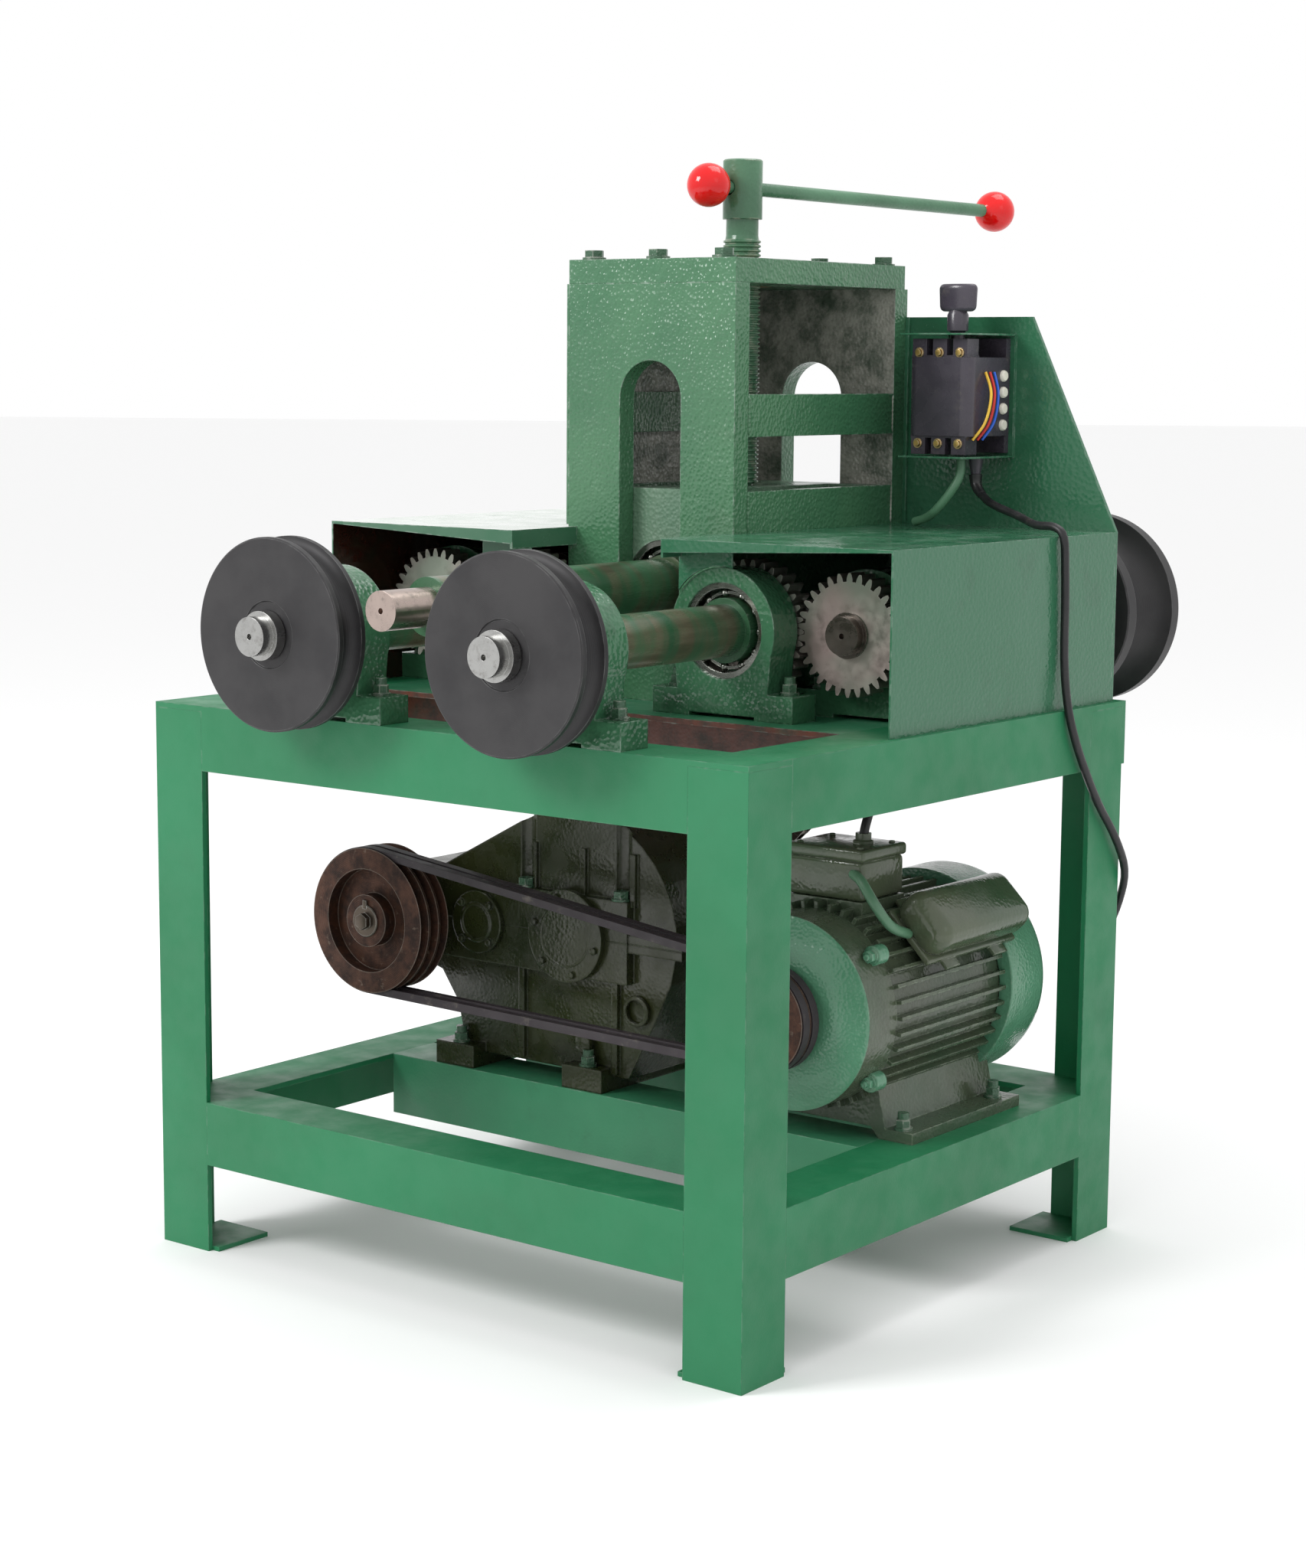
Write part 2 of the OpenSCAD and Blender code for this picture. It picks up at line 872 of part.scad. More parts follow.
module rear_roller_left() {
    color("dimgray")
        rear_roller(-outer_x);
}

module rear_roller_right() {
    color("dimgray")
        rear_roller(outer_x);
}

// ---- chains ----

// points of an arc round a centre, from one angle through a turn
function arc(x, z, r, from, turn, n = 24) = [
    for (i = [0 : n])
        [x, z] + r * [cos(from + turn * i / n), sin(from + turn * i / n)]];

// outline of a band wrapped round two wheels
module wrapped(ax, az, ar, bx, bz, br) {
    d = sqrt((bx - ax) * (bx - ax) + (bz - az) * (bz - az));
    line = atan2(bz - az, bx - ax);
    lean = asin((ar - br) / d);
    polygon(concat(arc(ax, az, ar, line + 90 - lean, 180 + 2 * lean),
        arc(bx, bz, br, line - 90 + lean, 180 - 2 * lean)));
}

module band(ax, az, ar, bx, bz, br, inner, outer, y0, y1) {
    difference() {
        slab(y0, y1)
            wrapped(ax, az, ar + outer, bx, bz, br + outer);
        slab(y0 - 1, y1 + 1)
            wrapped(ax, az, ar - inner, bx, bz, br - inner);
    }
}

// two rows of side plates joined by the pins of the free spans
module chain(x, y) {
    d = sqrt(pow(x - output_x, 2) + pow(shaft_z - gearbox_z, 2));
    line = atan2(shaft_z - gearbox_z, x - output_x);
    lean = asin((drive_pitch_r - driven_pitch_r) / d);
    for (row = [-7.5, 5])
        band(output_x, gearbox_z, drive_pitch_r, x, shaft_z, driven_pitch_r, 6, 6,
            y + row, y + row + 2.5);
    for (side = [-1, 1])
        for (t = [0.2 : 0.15 : 0.8])
            let (a = line + side * (90 - lean),
                 r = drive_pitch_r + (driven_pitch_r - drive_pitch_r) * t)
                rod(2.5, y - 6, y + 6,
                    output_x + (x - output_x) * t + r * cos(a),
                    gearbox_z + (shaft_z - gearbox_z) * t + r * sin(a));
}

module chain_left() {
    color("dimgray")
        chain(-outer_x, chain_y_left);
}

module chain_right() {
    color("dimgray")
        chain(outer_x, chain_y_right);
}

// ---- covers and panel ----

// side wall at x = side, notched where it meets the block feet, top, drooping front lip, the strip beside the upper shaft and the
// plate cut out round the middle pillow block
module cover(side) {
    difference() {
        translate([side - sheet_t, cover_front, deck_z])
            cube([sheet_t, cover_back - cover_front, cover_h]);
        for (y = side - sheet_t < outer_x + block_foot / 2 ? [outer_block_y, rear_block_y] : [])
            translate([side - sheet_t - 1, y - 1, deck_z - 1])
                cube([sheet_t + 2, block_w + 2, block_foot_h + 2]);
    }
    translate([inner_x, tower_y, cover_z - sheet_t])
        cube([side - inner_x, cover_back - tower_y, sheet_t]);
    translate([strip_x, cover_front, cover_z - sheet_t])
        cube([side - strip_x, tower_y - cover_front, sheet_t]);
    slab(cover_front, cover_front + sheet_t)
        polygon([[strip_x, cover_z - 15], [side - sheet_t, cover_z - sheet_t - 1],
                 [side - sheet_t, cover_z], [strip_x, cover_z]]);
    translate([strip_x, cover_front, cover_z - 20])
        cube([3, tower_y - cover_front, 20]);
    slab(mid_block_y - 4, mid_block_y - 2)
        difference() {
            translate([strip_x, cover_z - 64])
                square([69, 63]);
            translate([front_x, shaft_z])
                circle(r = block_r + 1);
        }
    translate([inner_x, cover_back - sheet_t, deck_z])
        difference() {
            cube([side - inner_x, sheet_t, cover_h]);
            translate([outer_x - inner_x, -1, shaft_h])
                rotate([-90, 0, 0])
                    cylinder(r = 36, h = sheet_t + 2);
        }
}

module cover_left() {
    color("seagreen")
        mirror([1, 0, 0])
            cover(cover_x - left_inset);
}

module cover_right() {
    color("seagreen")
        cover(cover_x);
}

// upright panel behind the right cover, carrying the switch in a folded bracket
module switch_panel() {
    left = switch_x - bracket_w / 2;
    color("seagreen") {
        difference() {
            slab(panel_y - 2, panel_y + 3)
                polygon([[inner_x, deck_z], [cover_x, deck_z], [cover_x, cover_z],
                         [275, deck_z + panel_h], [inner_x, deck_z + panel_h]]);
            rod(36, panel_y - 3, panel_y + 4, outer_x, shaft_z);
        }
        translate([left, panel_y - 5, bracket_z])
            cube([bracket_w, 3, bracket_h]);
        for (z = [bracket_z, bracket_z + bracket_h - 2])
            difference() {
                translate([left, bracket_y, z])
                    cube([bracket_w, panel_y - 5 - bracket_y, 2]);
                translate([switch_x, knob_y, z - 1])
                    cylinder(r = 9, h = 4);
            }
    }
}

// ---- switch ----

// drum switch: base board, rounded cover and terminal blocks above and below it
module switch_base() {
    color("dimgray") {
        translate([switch_x - 38, panel_y - 13, bracket_z + 5])
            cube([76, 8, bracket_h - 10]);
        difference() {
            translate([0, 0, bracket_z + 24])
                linear_extrude(height = 86)
                    union() {
                        translate([switch_x - 40, bracket_y + 22])
                            square([80, 70]);
                        translate([switch_x - 28, bracket_y + 10])
                            square([56, 14]);
                        for (side = [-1, 1])
                            translate([switch_x + side * 28, bracket_y + 22])
                                circle(r = 12);
                    }
            translate([switch_x, knob_y, bracket_z + 60])
                cylinder(r = 8.3, h = 60);
        }
        for (z = [bracket_z + 112, bracket_z + 4])
            for (x = [-26, 0, 26])
                translate([switch_x + x - 9, bracket_y + 12, z])
                    cube([18, 24, 18]);
        for (z = [bracket_z + 110, bracket_z + 22])
            translate([switch_x - 36, bracket_y + 12, z])
                cube([72, 24, 2]);
        translate([switch_x + 28, knob_y - 1, bracket_z - 18])
            cylinder(r1 = cord_r + 1, r2 = cord_r + 4, h = 18);
    }
}

// spindle, neck and oval grip
module switch_knob() {
    top = bracket_z + bracket_h;
    color("dimgray") {
        translate([switch_x, knob_y, bracket_z + 64])
            cylinder(r = 8, h = top - bracket_z - 58);
        translate([switch_x, knob_y, top + 3])
            cylinder(r = 12, h = 24);
        translate([switch_x, knob_y, top + 24])
            intersection() {
                scale([1, 0.45, 1])
                    cylinder(r = 27, h = 30);
                translate([-24, -12, 0])
                    cube([48, 24, 30]);
            }
    }
}

// ---- cables ----

// tube with flat ends along a list of points; the ring at each point faces along the route
function unit(v) = v / norm(v);
function heading(p, i) =
    unit((i < len(p) - 1 ? unit(p[i + 1] - p[i]) : [0, 0, 0])
        + (i > 0 ? unit(p[i] - p[i - 1]) : [0, 0, 0]));
function across(d) = unit(cross(d, abs(d[2]) < 0.8 ? [0, 0, 1] : [1, 0, 0]));

// points of a smooth curve through a list of hand-set points
function curve(p, n) = [
    for (i = [0 : len(p) - 2])
        for (k = [0 : i == len(p) - 2 ? n : n - 1])
            let (t = k / n,
                 a = p[max(i - 1, 0)], b = p[i], c = p[i + 1], d = p[min(i + 2, len(p) - 1)])
                0.5 * (2 * b + (c - a) * t + (2 * a - 5 * b + 4 * c - d) * t * t
                    + (3 * b - a - 3 * c + d) * t * t * t)];

// side direction carried along the route so the rings do not twist
function frames(p, i = 0, prev = undef, out = []) =
    i == len(p) ? out :
    let (d = heading(p, i),
         side = prev == undef ? across(d) : unit(prev - (prev * d) * d))
        frames(p, i + 1, side, concat(out, [[d, side]]));

module tube(p, r, sides = 10) {
    f = frames(p);
    n = len(p);
    pts = [for (i = [0 : n - 1])
        for (k = [0 : sides - 1])
            p[i] + r * (cos(k * 360 / sides) * f[i][1]
                + sin(k * 360 / sides) * cross(f[i][0], f[i][1]))];
    walls = [for (i = [0 : n - 2])
        for (k = [0 : sides - 1])
            for (half = [0, 1])
                let (a = i * sides + k, b = i * sides + (k + 1) % sides)
                    half == 0 ? [a, b, b + sides] : [a, b + sides, a + sides]];
    ends = [[for (k = [sides - 1 : -1 : 0]) k],
            [for (k = [0 : sides - 1]) (n - 1) * sides + k]];
    polyhedron(points = pts,
        faces = [for (f = concat(walls, ends)) [for (i = [len(f) - 1 : -1 : 0]) f[i]]]);
}

cable_route = [[228, 272, 864], [228, 270, 845], [220, 264, 826], [203, 262, 806],
    [184, 270, 796], [166, 278, 791.5]];
cord_route = [[240, 284, 846], [242, 283, 834], [254, 276, 824], [276, 262, 815],
    [318, 244, 805], [352, 226, 797], [380, 217, 796], [393, 215, 785], [394, 218, 750],
    [394, 220, 710], [394, 221, 660], [397, 222, 620], [401, 228, 585], [402, 250, 545],
    [402, 288, 495], [404, 326, 452], [402, 354, 412], [390, 366, 374], [374, 364, 330],
    [364, 358, 290], [362, 357, 260], [362, 357, 230], [362, 357, 200], [356, 357, 168],
    [334, 357, 142], [300, 357, 130], [270, 357, 130], [240, 357, 130], [210, 357, 130],
    [174, 357, 126], [150, 360, 104], [140, 366, 70], [138, 371, 36], [130, 375, 14],
    [112, 380, 9]];
coil_at = [120, 432];
coil_r = 47;
tail_route = [[68.5, 432, 4.5], [68, 456, 5], [69, 480, 8], [72, 500, 14], [72, 512, 16]];
motor_cable_route = [[262, 40, 466], [262, 42, 480], [263, 50, 500], [265, 64, 530],
    [266, 76, 560], [266, 80, 594]];
clip_x = [285, 225];
clip_z = 230;

// cord down the right side and along the back rail, and the tail that runs to the plug
module mains_cord() {
    color("black") {
        tube(curve(cord_route, 2), cord_r);
        tube(curve(tail_route, 3), cord_r);
    }
}

// spare cord on the floor behind the stand, wound two turns wide and three high
module cord_coil() {
    color("black")
        translate([coil_at[0], coil_at[1], 0])
            rotate_extrude()
                translate([coil_r - 2 * cord_r, 0])
                    square([4 * cord_r, 6 * cord_r]);
}

module plug() {
    color("black") {
        translate([58, 510, 2])
            cube([28, 44, 28]);
        for (side = [-1, 1])
            rod(2.4, 553, 573, 72 + side * 6, 16);
    }
}

// saddles that hold the cord against the lower back rail and the leg
module cord_clips() {
    color("black") {
        for (x = clip_x)
            difference() {
                translate([x - 5, half_d, 121])
                    cube([10, 11, 18]);
                translate([x - 6, 357, 130])
                    rotate([0, 90, 0])
                        cylinder(r = cord_r + fit, h = 12);
            }
        difference() {
            translate([353, half_d, clip_z - 5])
                cube([18, 11, 10]);
            translate([362, 357, clip_z - 6])
                cylinder(r = cord_r + fit, h = 12);
        }
    }
}

// green cable under the switch, three switch wires and the cable up from the motor
module wiring() {
    top = bracket_z + bracket_h;
    color("seagreen")
        tube(curve(cable_route, 4), cable_r);
    color("black")
        tube(curve(motor_cable_route, 4), cable_r);
    for (side = [[0, "royalblue"], [1, "firebrick"], [2, "gold"]])
        color(side[1])
            tube(curve([[254, bracket_y + 60 - side[0] * 9, top - 42],
                        [261 + side[0], bracket_y + 58 - side[0] * 9, top - 66],
                        [260, bracket_y + 52 - side[0] * 9, top - 96],
                        [250, bracket_y + 44 - side[0] * 10, top - 116]], 5), 1.6, 8);
}

// ---- gearbox ----

// outline of the casing below the split
module box_lower() {
    polygon([[input_x - 48, gearbox_z], [input_x - 43, gearbox_z - 25],
             [input_x - 23, gearbox_z - 48], [input_x + 12, gearbox_z - 60],
             [input_x + 32, gearbox_z - 66], [input_x + 56, gearbox_z - 100],
             [input_x + 70, low_z + 16], [output_x + 76, low_z + 16],
             [output_x + 110, gearbox_z - 90], [output_x + 134, gearbox_z - 40],
             [output_x + 142, gearbox_z]]);
}

// outline of the domed cover above the split
module box_upper() {
    intersection() {
        wrapped(input_x, gearbox_z, 34, output_x, gearbox_z, 142);
        translate([input_x - 60, gearbox_z])
            square([520, 200]);
    }
}

// room for the wheels
module box_hollow() {
    slab(box_y + box_wall, box_y + box_d - box_wall) {
        translate([input_x, gearbox_z])
            circle(r = 28);
        translate([mid_x, gearbox_z])
            circle(r = 88.5);
        translate([output_x, gearbox_z])
            circle(r = 120);
        polygon([[input_x, gearbox_z - 24], [output_x, gearbox_z - 24],
                 [output_x, gearbox_z + 110], [input_x, gearbox_z + 24]]);
    }
}

// bearing seats of the three shafts
module box_bores() {
    for (b = [[input_x, 22], [mid_x, 22], [output_x, 32]])
        rod(b[1], box_y - 20, box_y + box_d + 20, b[0], gearbox_z);
}

// split flange and the thick band round the bearings, on one side of the split
module box_flange(z0, z1) {
    translate([input_x - 56, box_y - 10, gearbox_z + z0 * 10])
        cube([output_x - input_x + 212, box_d + 20, 10]);
    translate([input_x - 48, box_y - 12, gearbox_z + z1 * 46])
        cube([output_x - input_x + 130, box_d + 24, 46]);
}

module gearbox_housing() {
    color("darkolivegreen")
        difference() {
            union() {
                slab(box_y, box_y + box_d)
                    box_lower();
                box_flange(-1, -1);
                for (x = [mid_x - 58, output_x - 1])
                    translate([x, box_y - 22, low_z])
                        cube([56, box_d + 44, box_foot_h]);
                for (x = [mid_x + 52, output_x + 56])
                    translate([x, box_y - 6, low_z + 20])
                        cube([8, box_d + 12, gearbox_h - 60]);
            }
            box_hollow();
            box_bores();
            for (p = box_bolts)
                translate([p[0], p[1], low_z - 1])
                    cylinder(r = bolt_r + 0.5, h = box_foot_h + 2);
            cover_bolt_holes();
        }
}

module gearbox_cover() {
    color("darkolivegreen")
        difference() {
            union() {
                slab(box_y, box_y + box_d)
                    box_upper();
                box_flange(0, 0);
                for (x = [output_x - 60, output_x + 10, output_x + 80])
                    translate([x, box_y - 5, gearbox_z + 40])
                        cube([7, box_d + 10, 58]);
            }
            box_hollow();
            box_bores();
            cover_bolt_holes();
        }
}

// bolts that clamp the cover down, between the bearings
cover_bolts = [for (x = [mid_x + 62, output_x + 68]) for (y = [box_y - 4, box_y + box_d + 4])
    [x, y]];

module cover_bolt_holes() {
    for (p = cover_bolts) {
        translate([p[0], p[1], gearbox_z - 30])
            cylinder(r = 5 + fit, h = 80);
        translate([p[0], p[1], gearbox_z + 46])
            cylinder(r = 11.5, h = 200);
    }
}

// caps over the shaft ends, the one on the belt side of the input open for its shaft
module gearbox_caps() {
    front = box_y - 12;
    back = box_y + box_d + 12;
    color("darkolivegreen") {
        difference() {
            rod(36, front - 7, front, mid_x, gearbox_z);
            for (a = [45 : 90 : 315])
                rod(4, front - 8, front - 4, mid_x + 29 * cos(a), gearbox_z + 29 * sin(a));
        }
        rod(52, front - 8, front, output_x, gearbox_z);
        ring(36, 14.4, front - 7, front, input_x, gearbox_z);
        rod(36, back, back + 6, input_x, gearbox_z);
        rod(36, back, back + 6, mid_x, gearbox_z);
    }
}

// pulley turned from one blank: grooves, web and hub
module grooved_pulley(x, y, z, r, grooves, hub, bore) {
    pitch = belt_pitch;
    w = grooves * pitch;
    recess = (w - 16) / 2;
    rim = [for (g = [0 : grooves - 1])
        each [[r, g * pitch + 1], [r, g * pitch + 1.5], [r - 13, g * pitch + 4.5],
              [r - 13, g * pitch + 11.5], [r, g * pitch + 14.5], [r, g * pitch + 15]]];
    translate([x, y, z])
        rotate([-90, 0, 0])
            rotate_extrude($fn = 72)
                polygon(concat(
                    [[bore, 0], [hub, 0], [hub, recess], [r - 24, recess], [r - 24, 0]], rim,
                    [[r - 24, w], [r - 24, w - recess], [hub, w - recess], [hub, w],
                     [bore, w]]));
}

module gearbox_input() {
    color("gray") {
        rod(14, pulley_y, box_y + 44, input_x, gearbox_z);
        rod(13, box_y + 44, box_y + box_d + 6, input_x, gearbox_z);
        grooved_pulley(input_x, pulley_y, gearbox_z, pulley_r, 3, 30, 14);
        spur_gear(stage1_m, stage1_pinion, input_x, box_y + 50, gearbox_z, 40, 12, 0, 0.3, 3);
        for (y = [box_y - 6, box_y + box_d - 10])
            ring(21.9, 13, y, y + 16, input_x, gearbox_z);
    }
}

module gearbox_middle() {
    color("gray") {
        rod(12.5, box_y - 6, box_y + box_d + 6, mid_x, gearbox_z);
        spur_gear(stage1_m, stage1_wheel, mid_x, box_y + 52, gearbox_z, 36, 12.5,
            180 + 180 / stage1_wheel, 0.3, 2);
        spur_gear(stage2_m, stage2_pinion, mid_x, box_y + 104, gearbox_z, 44, 12.4, 0, 0.3, 3);
        for (y = [box_y - 6, box_y + box_d - 10])
            ring(21.9, 12.5, y, y + 16, mid_x, gearbox_z);
    }
}

module gearbox_output() {
    color("gray") {
        rod(20, box_y - 6, chain_y_left + 10, output_x, gearbox_z);
        spur_gear(stage2_m, stage2_wheel, output_x, box_y + 106, gearbox_z, 40, 20,
            180 + 180 / stage2_wheel, 0.3, 2);
        for (y = [box_y - 6, box_y + box_d - 10])
            ring(31.9, 20, y, y + 16, output_x, gearbox_z);
        for (y = [chain_y_right, chain_y_left])
            sprocket(drive_sprocket, drive_pitch_r, output_x, y, gearbox_z, 20);
    }
}

// ---- belts ----

// two belts in the front grooves; each tapers in two steps to fit its groove
module v_belts() {
    steps = [[0, 4.5, 4.3], [4.5, belt_h, 5.3]];
    color("black")
        for (g = [0, 1])
            for (step = steps)
                band(input_x, gearbox_z, pulley_r - belt_sink, motor_x, motor_z,
                    motor_pulley_r - belt_sink, -step[0], step[1],
                    pulley_y + (g + 0.5) * belt_pitch - step[2],
                    pulley_y + (g + 0.5) * belt_pitch + step[2]);
}

// ---- motor ----

// ribbed barrel section: one rectangular rib every nine degrees
module ribbed_barrel() {
    polygon([for (i = [0 : 39])
        for (k = [0 : 3])
            let (r = k == 1 || k == 2 ? motor_r : motor_r - 9,
                 a = i * 9 + [-1.3, -1, 1, 1.3][k])
                [motor_x + r * cos(a), motor_z + r * sin(a)]]);
}

module motor_body() {
    body_back = motor_front + motor_len;
    color("darkslategray")
        difference() {
            union() {
                rod(motor_r - 7, motor_front, motor_front + 50, motor_x, motor_z);
                slab(motor_front + 50, body_back)
                    ribbed_barrel();
                slab(-14, body_back - 3)
                    polygon([[motor_x - foot_half, low_z], [motor_x - foot_half + 42, low_z],
                             [motor_x - foot_half + 52, low_z + 12],
                             [motor_x + foot_half - 52, low_z + 12],
                             [motor_x + foot_half - 42, low_z], [motor_x + foot_half, low_z],
                             [motor_x + foot_half, low_z + 12],
                             [motor_x + foot_half - 34, low_z + motor_foot_h],
                             [motor_x + 72, motor_z - 60], [motor_x - 72, motor_z - 60],
                             [motor_x - foot_half + 34, low_z + motor_foot_h],
                             [motor_x - foot_half, low_z + 12]]);
                translate([motor_x - 50, -4, motor_z + 80])
                    cube([96, 80, 31]);
            }
            rod(84, motor_front - 1, body_back - 10, motor_x, motor_z);
            rod(24, body_back - 12, body_back + 1, motor_x, motor_z);
            for (p = motor_bolts)
                translate([p[0], p[1], low_z - 1])
                    cylinder(r = bolt_r + 0.5, h = 30);
        }
}

// rotor, shaft, fan and pulley turn together
module motor_rotor() {
    body_back = motor_front + motor_len;
    color("gray") {
        rod(60, motor_front + 30, body_back - 50, motor_x, motor_z);
        rod(14, pulley_y, motor_front + 30, motor_x, motor_z);
        rod(14, body_back - 50, body_back + 50, motor_x, motor_z);
        grooved_pulley(motor_x, pulley_y, motor_z, motor_pulley_r, 2, 26, 14);
        ring(30, 14, body_back + 12, body_back + 48, motor_x, motor_z);
        for (i = [0 : 7])
            translate([motor_x, body_back + 14, motor_z])
                rotate([0, i * 45, 0])
                    translate([28, 0, -1.5])
                        cube([56, 32, 3]);
    }
}

// end bell, fan cover, terminal box, capacitor housing and the stator winding
module motor_covers() {
    body_back = motor_front + motor_len;
    color("darkslategray") {
        translate([motor_x, 0, motor_z])
            rotate([-90, 0, 0])
                rotate_extrude($fn = 72)
                    polygon([[14.5, motor_front - 19], [34, motor_front - 19],
                             [44, motor_front - 17], [78, motor_front - 12],
                             [98, motor_front - 4], [motor_r - 7, motor_front - 1],
                             [motor_r - 7, motor_front], [14.5, motor_front]]);
        translate([motor_x, 0, motor_z])
            rotate([-90, 0, 0])
                rotate_extrude($fn = 72)
                    polygon([[motor_r, body_back], [motor_r - 8, body_back],
                             [motor_r - 8, body_back + 3], [motor_r + 5, body_back + 3],
                             [motor_r + 5, body_back + 60], [motor_r - 3, body_back + 76],
                             [motor_r - 17, body_back + 85], [20, body_back + 87],
                             [20, body_back + 90], [motor_r - 16, body_back + 88],
                             [motor_r, body_back + 78], [motor_r + 8, body_back + 60],
                             [motor_r + 8, body_back]]);
        translate([motor_x - 50, -4, motor_z + 111])
            cube([96, 80, 55]);
        ring(84, 61, motor_front + 40, body_back - 60, motor_x, motor_z);
        translate([motor_x + 84, 20, motor_z + 74])
            rotate([0, -45, 0])
                translate([-1.5, 0, -34])
                    cube([48, 180, 68]);
    }
}

// bolts of the motor and gearbox feet and of the gearbox cover
module drive_bolts() {
    color("darkolivegreen") {
        for (p = motor_bolts)
            foot_bolt(p, low_z + motor_foot_h, motor_foot_h + angle_t);
        for (p = box_bolts)
            foot_bolt(p, low_z + box_foot_h, box_foot_h + angle_t);
        for (p = cover_bolts) {
            hex_up(p[0], p[1], gearbox_z + 46, 16, 8);
            translate([p[0], p[1], gearbox_z - 28])
                cylinder(r = 5, h = 76);
        }
    }
}

stand_legs();
foot_plates();
top_rail_front();
top_rail_back();
side_rails();
lower_rails();
cross_members();
deck_plate();
front_pillow_blocks();
mid_pillow_blocks();
outer_pillow_blocks();
bearings();
block_bolts();
tower_front_plate();
tower_back_plate();
tower_side_bars();
tower_top_plate();
tower_bolts();
press_nut();
carriage();
carriage_bearings();
upper_shaft();
press_screw();
turning_bar();
bar_balls();
roller_shaft_left();
roller_shaft_right();
roller_left();
roller_right();
roller_gear_left();
roller_gear_right();
outer_shaft_left();
outer_shaft_right();
rear_roller_left();
rear_roller_right();
outer_gear_left();
outer_gear_right();
chain_left();
chain_right();
cover_left();
cover_right();
switch_panel();
switch_base();
switch_knob();
wiring();
mains_cord();
cord_coil();
plug();
cord_clips();
gearbox_housing();
gearbox_cover();
gearbox_caps();
gearbox_input();
gearbox_middle();
gearbox_output();
v_belts();
motor_body();
motor_rotor();
motor_covers();
drive_bolts();
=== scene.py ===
"""Looks of an electric three-roll bending machine for pipe and section.

Metres, +Z up, the front of the machine towards -Y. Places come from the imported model's own
boxes, so every piece made here sits on the machine without fitting.
"""
import math

import bmesh
import bpy
from mathutils import Matrix, Vector


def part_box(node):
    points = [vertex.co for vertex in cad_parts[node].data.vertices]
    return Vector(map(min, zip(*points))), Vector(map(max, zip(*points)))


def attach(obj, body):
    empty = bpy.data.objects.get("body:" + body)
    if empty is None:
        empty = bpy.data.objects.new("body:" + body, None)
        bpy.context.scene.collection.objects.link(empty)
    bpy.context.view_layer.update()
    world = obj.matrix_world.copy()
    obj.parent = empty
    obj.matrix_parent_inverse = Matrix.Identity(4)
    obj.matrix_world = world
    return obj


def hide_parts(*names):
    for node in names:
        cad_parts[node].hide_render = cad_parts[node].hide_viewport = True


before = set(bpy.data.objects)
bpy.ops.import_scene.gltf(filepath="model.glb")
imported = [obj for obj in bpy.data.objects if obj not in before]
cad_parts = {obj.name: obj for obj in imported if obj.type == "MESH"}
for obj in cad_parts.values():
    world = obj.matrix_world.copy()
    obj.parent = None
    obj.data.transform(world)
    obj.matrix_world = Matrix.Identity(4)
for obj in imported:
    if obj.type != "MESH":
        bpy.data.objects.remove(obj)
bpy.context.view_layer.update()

# ---- driving sizes ----

CAMERA_PLACE = Vector((1.944, -2.498, 0.963))
CAMERA_TURN = math.radians(37.72)
CAMERA_DIP = math.radians(8.17)
CAMERA_ROLL = math.radians(0.44)
CAMERA_LENS = 67.0

CORD_R = 0.0045
COIL_AT = Vector((0.120, 0.432, 0))

BELT_PITCH = 0.016
PULLEY_BELT_R = 0.075
MOTOR_BELT_R = 0.047

ROLLER_R = 0.0985
ROLLER_GROOVE = 0.013
REAR_ROLLER_R = (0.102, 0.108)
REAR_ROLLER_GROOVE = 0.036
ROLLER_BORE_R = 0.0203
HUB_FACE_R = 0.0345
ROLLER_EDGE = 0.0015

CHAIN_PITCH = 0.015875
LINK_PLATE = (0.0245, 0.0011, 0.0115)
LINK_END_ROUND = 0.004
INNER_LINK, OUTER_LINK = 0.0056, 0.0068
CHAIN_ROLLER_R = 0.005
CHAIN_ROLLER_W = 0.0105
OUTPUT_PITCH_R = 0.0332
OUTER_PITCH_R = 0.0432

WELD_R = 0.0022
FOOT_WELD_R = 0.0035
WELD_RIPPLE = 0.0012
BAR_WELDS = ((0.188, 0.230), (0.290, 0.331))

DECK_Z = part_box("top_rail_front")[1].z
FLOOR_RAIL_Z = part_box("cross_members")[0].z


def middle(node):
    """Middle of a node's box."""
    low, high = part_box(node)
    return (low + high) / 2


# ---- camera and light ----


def look():
    """Camera at the machine's front right corner, a little above the deck."""
    data = bpy.data.cameras.new("camera")
    data.lens = CAMERA_LENS
    data.clip_end = 50
    camera = bpy.data.objects.new("camera", data)
    camera.matrix_world = (
        Matrix.Translation(CAMERA_PLACE)
        @ Matrix.Rotation(CAMERA_TURN, 4, "Z")
        @ Matrix.Rotation(math.pi / 2 - CAMERA_DIP, 4, "X")
        @ Matrix.Rotation(CAMERA_ROLL, 4, "Z")
    )
    bpy.context.collection.objects.link(camera)
    bpy.context.scene.camera = camera


def soft_box(name, place, target, size, power):
    """Square soft light at a place, turned to a target."""
    data = bpy.data.lights.new(name, "AREA")
    data.size = size
    data.energy = power
    lamp = bpy.data.objects.new(name, data)
    turn = (Vector(target) - Vector(place)).to_track_quat("-Z", "Y")
    lamp.matrix_world = Matrix.Translation(place) @ turn.to_matrix().to_4x4()
    bpy.context.collection.objects.link(lamp)


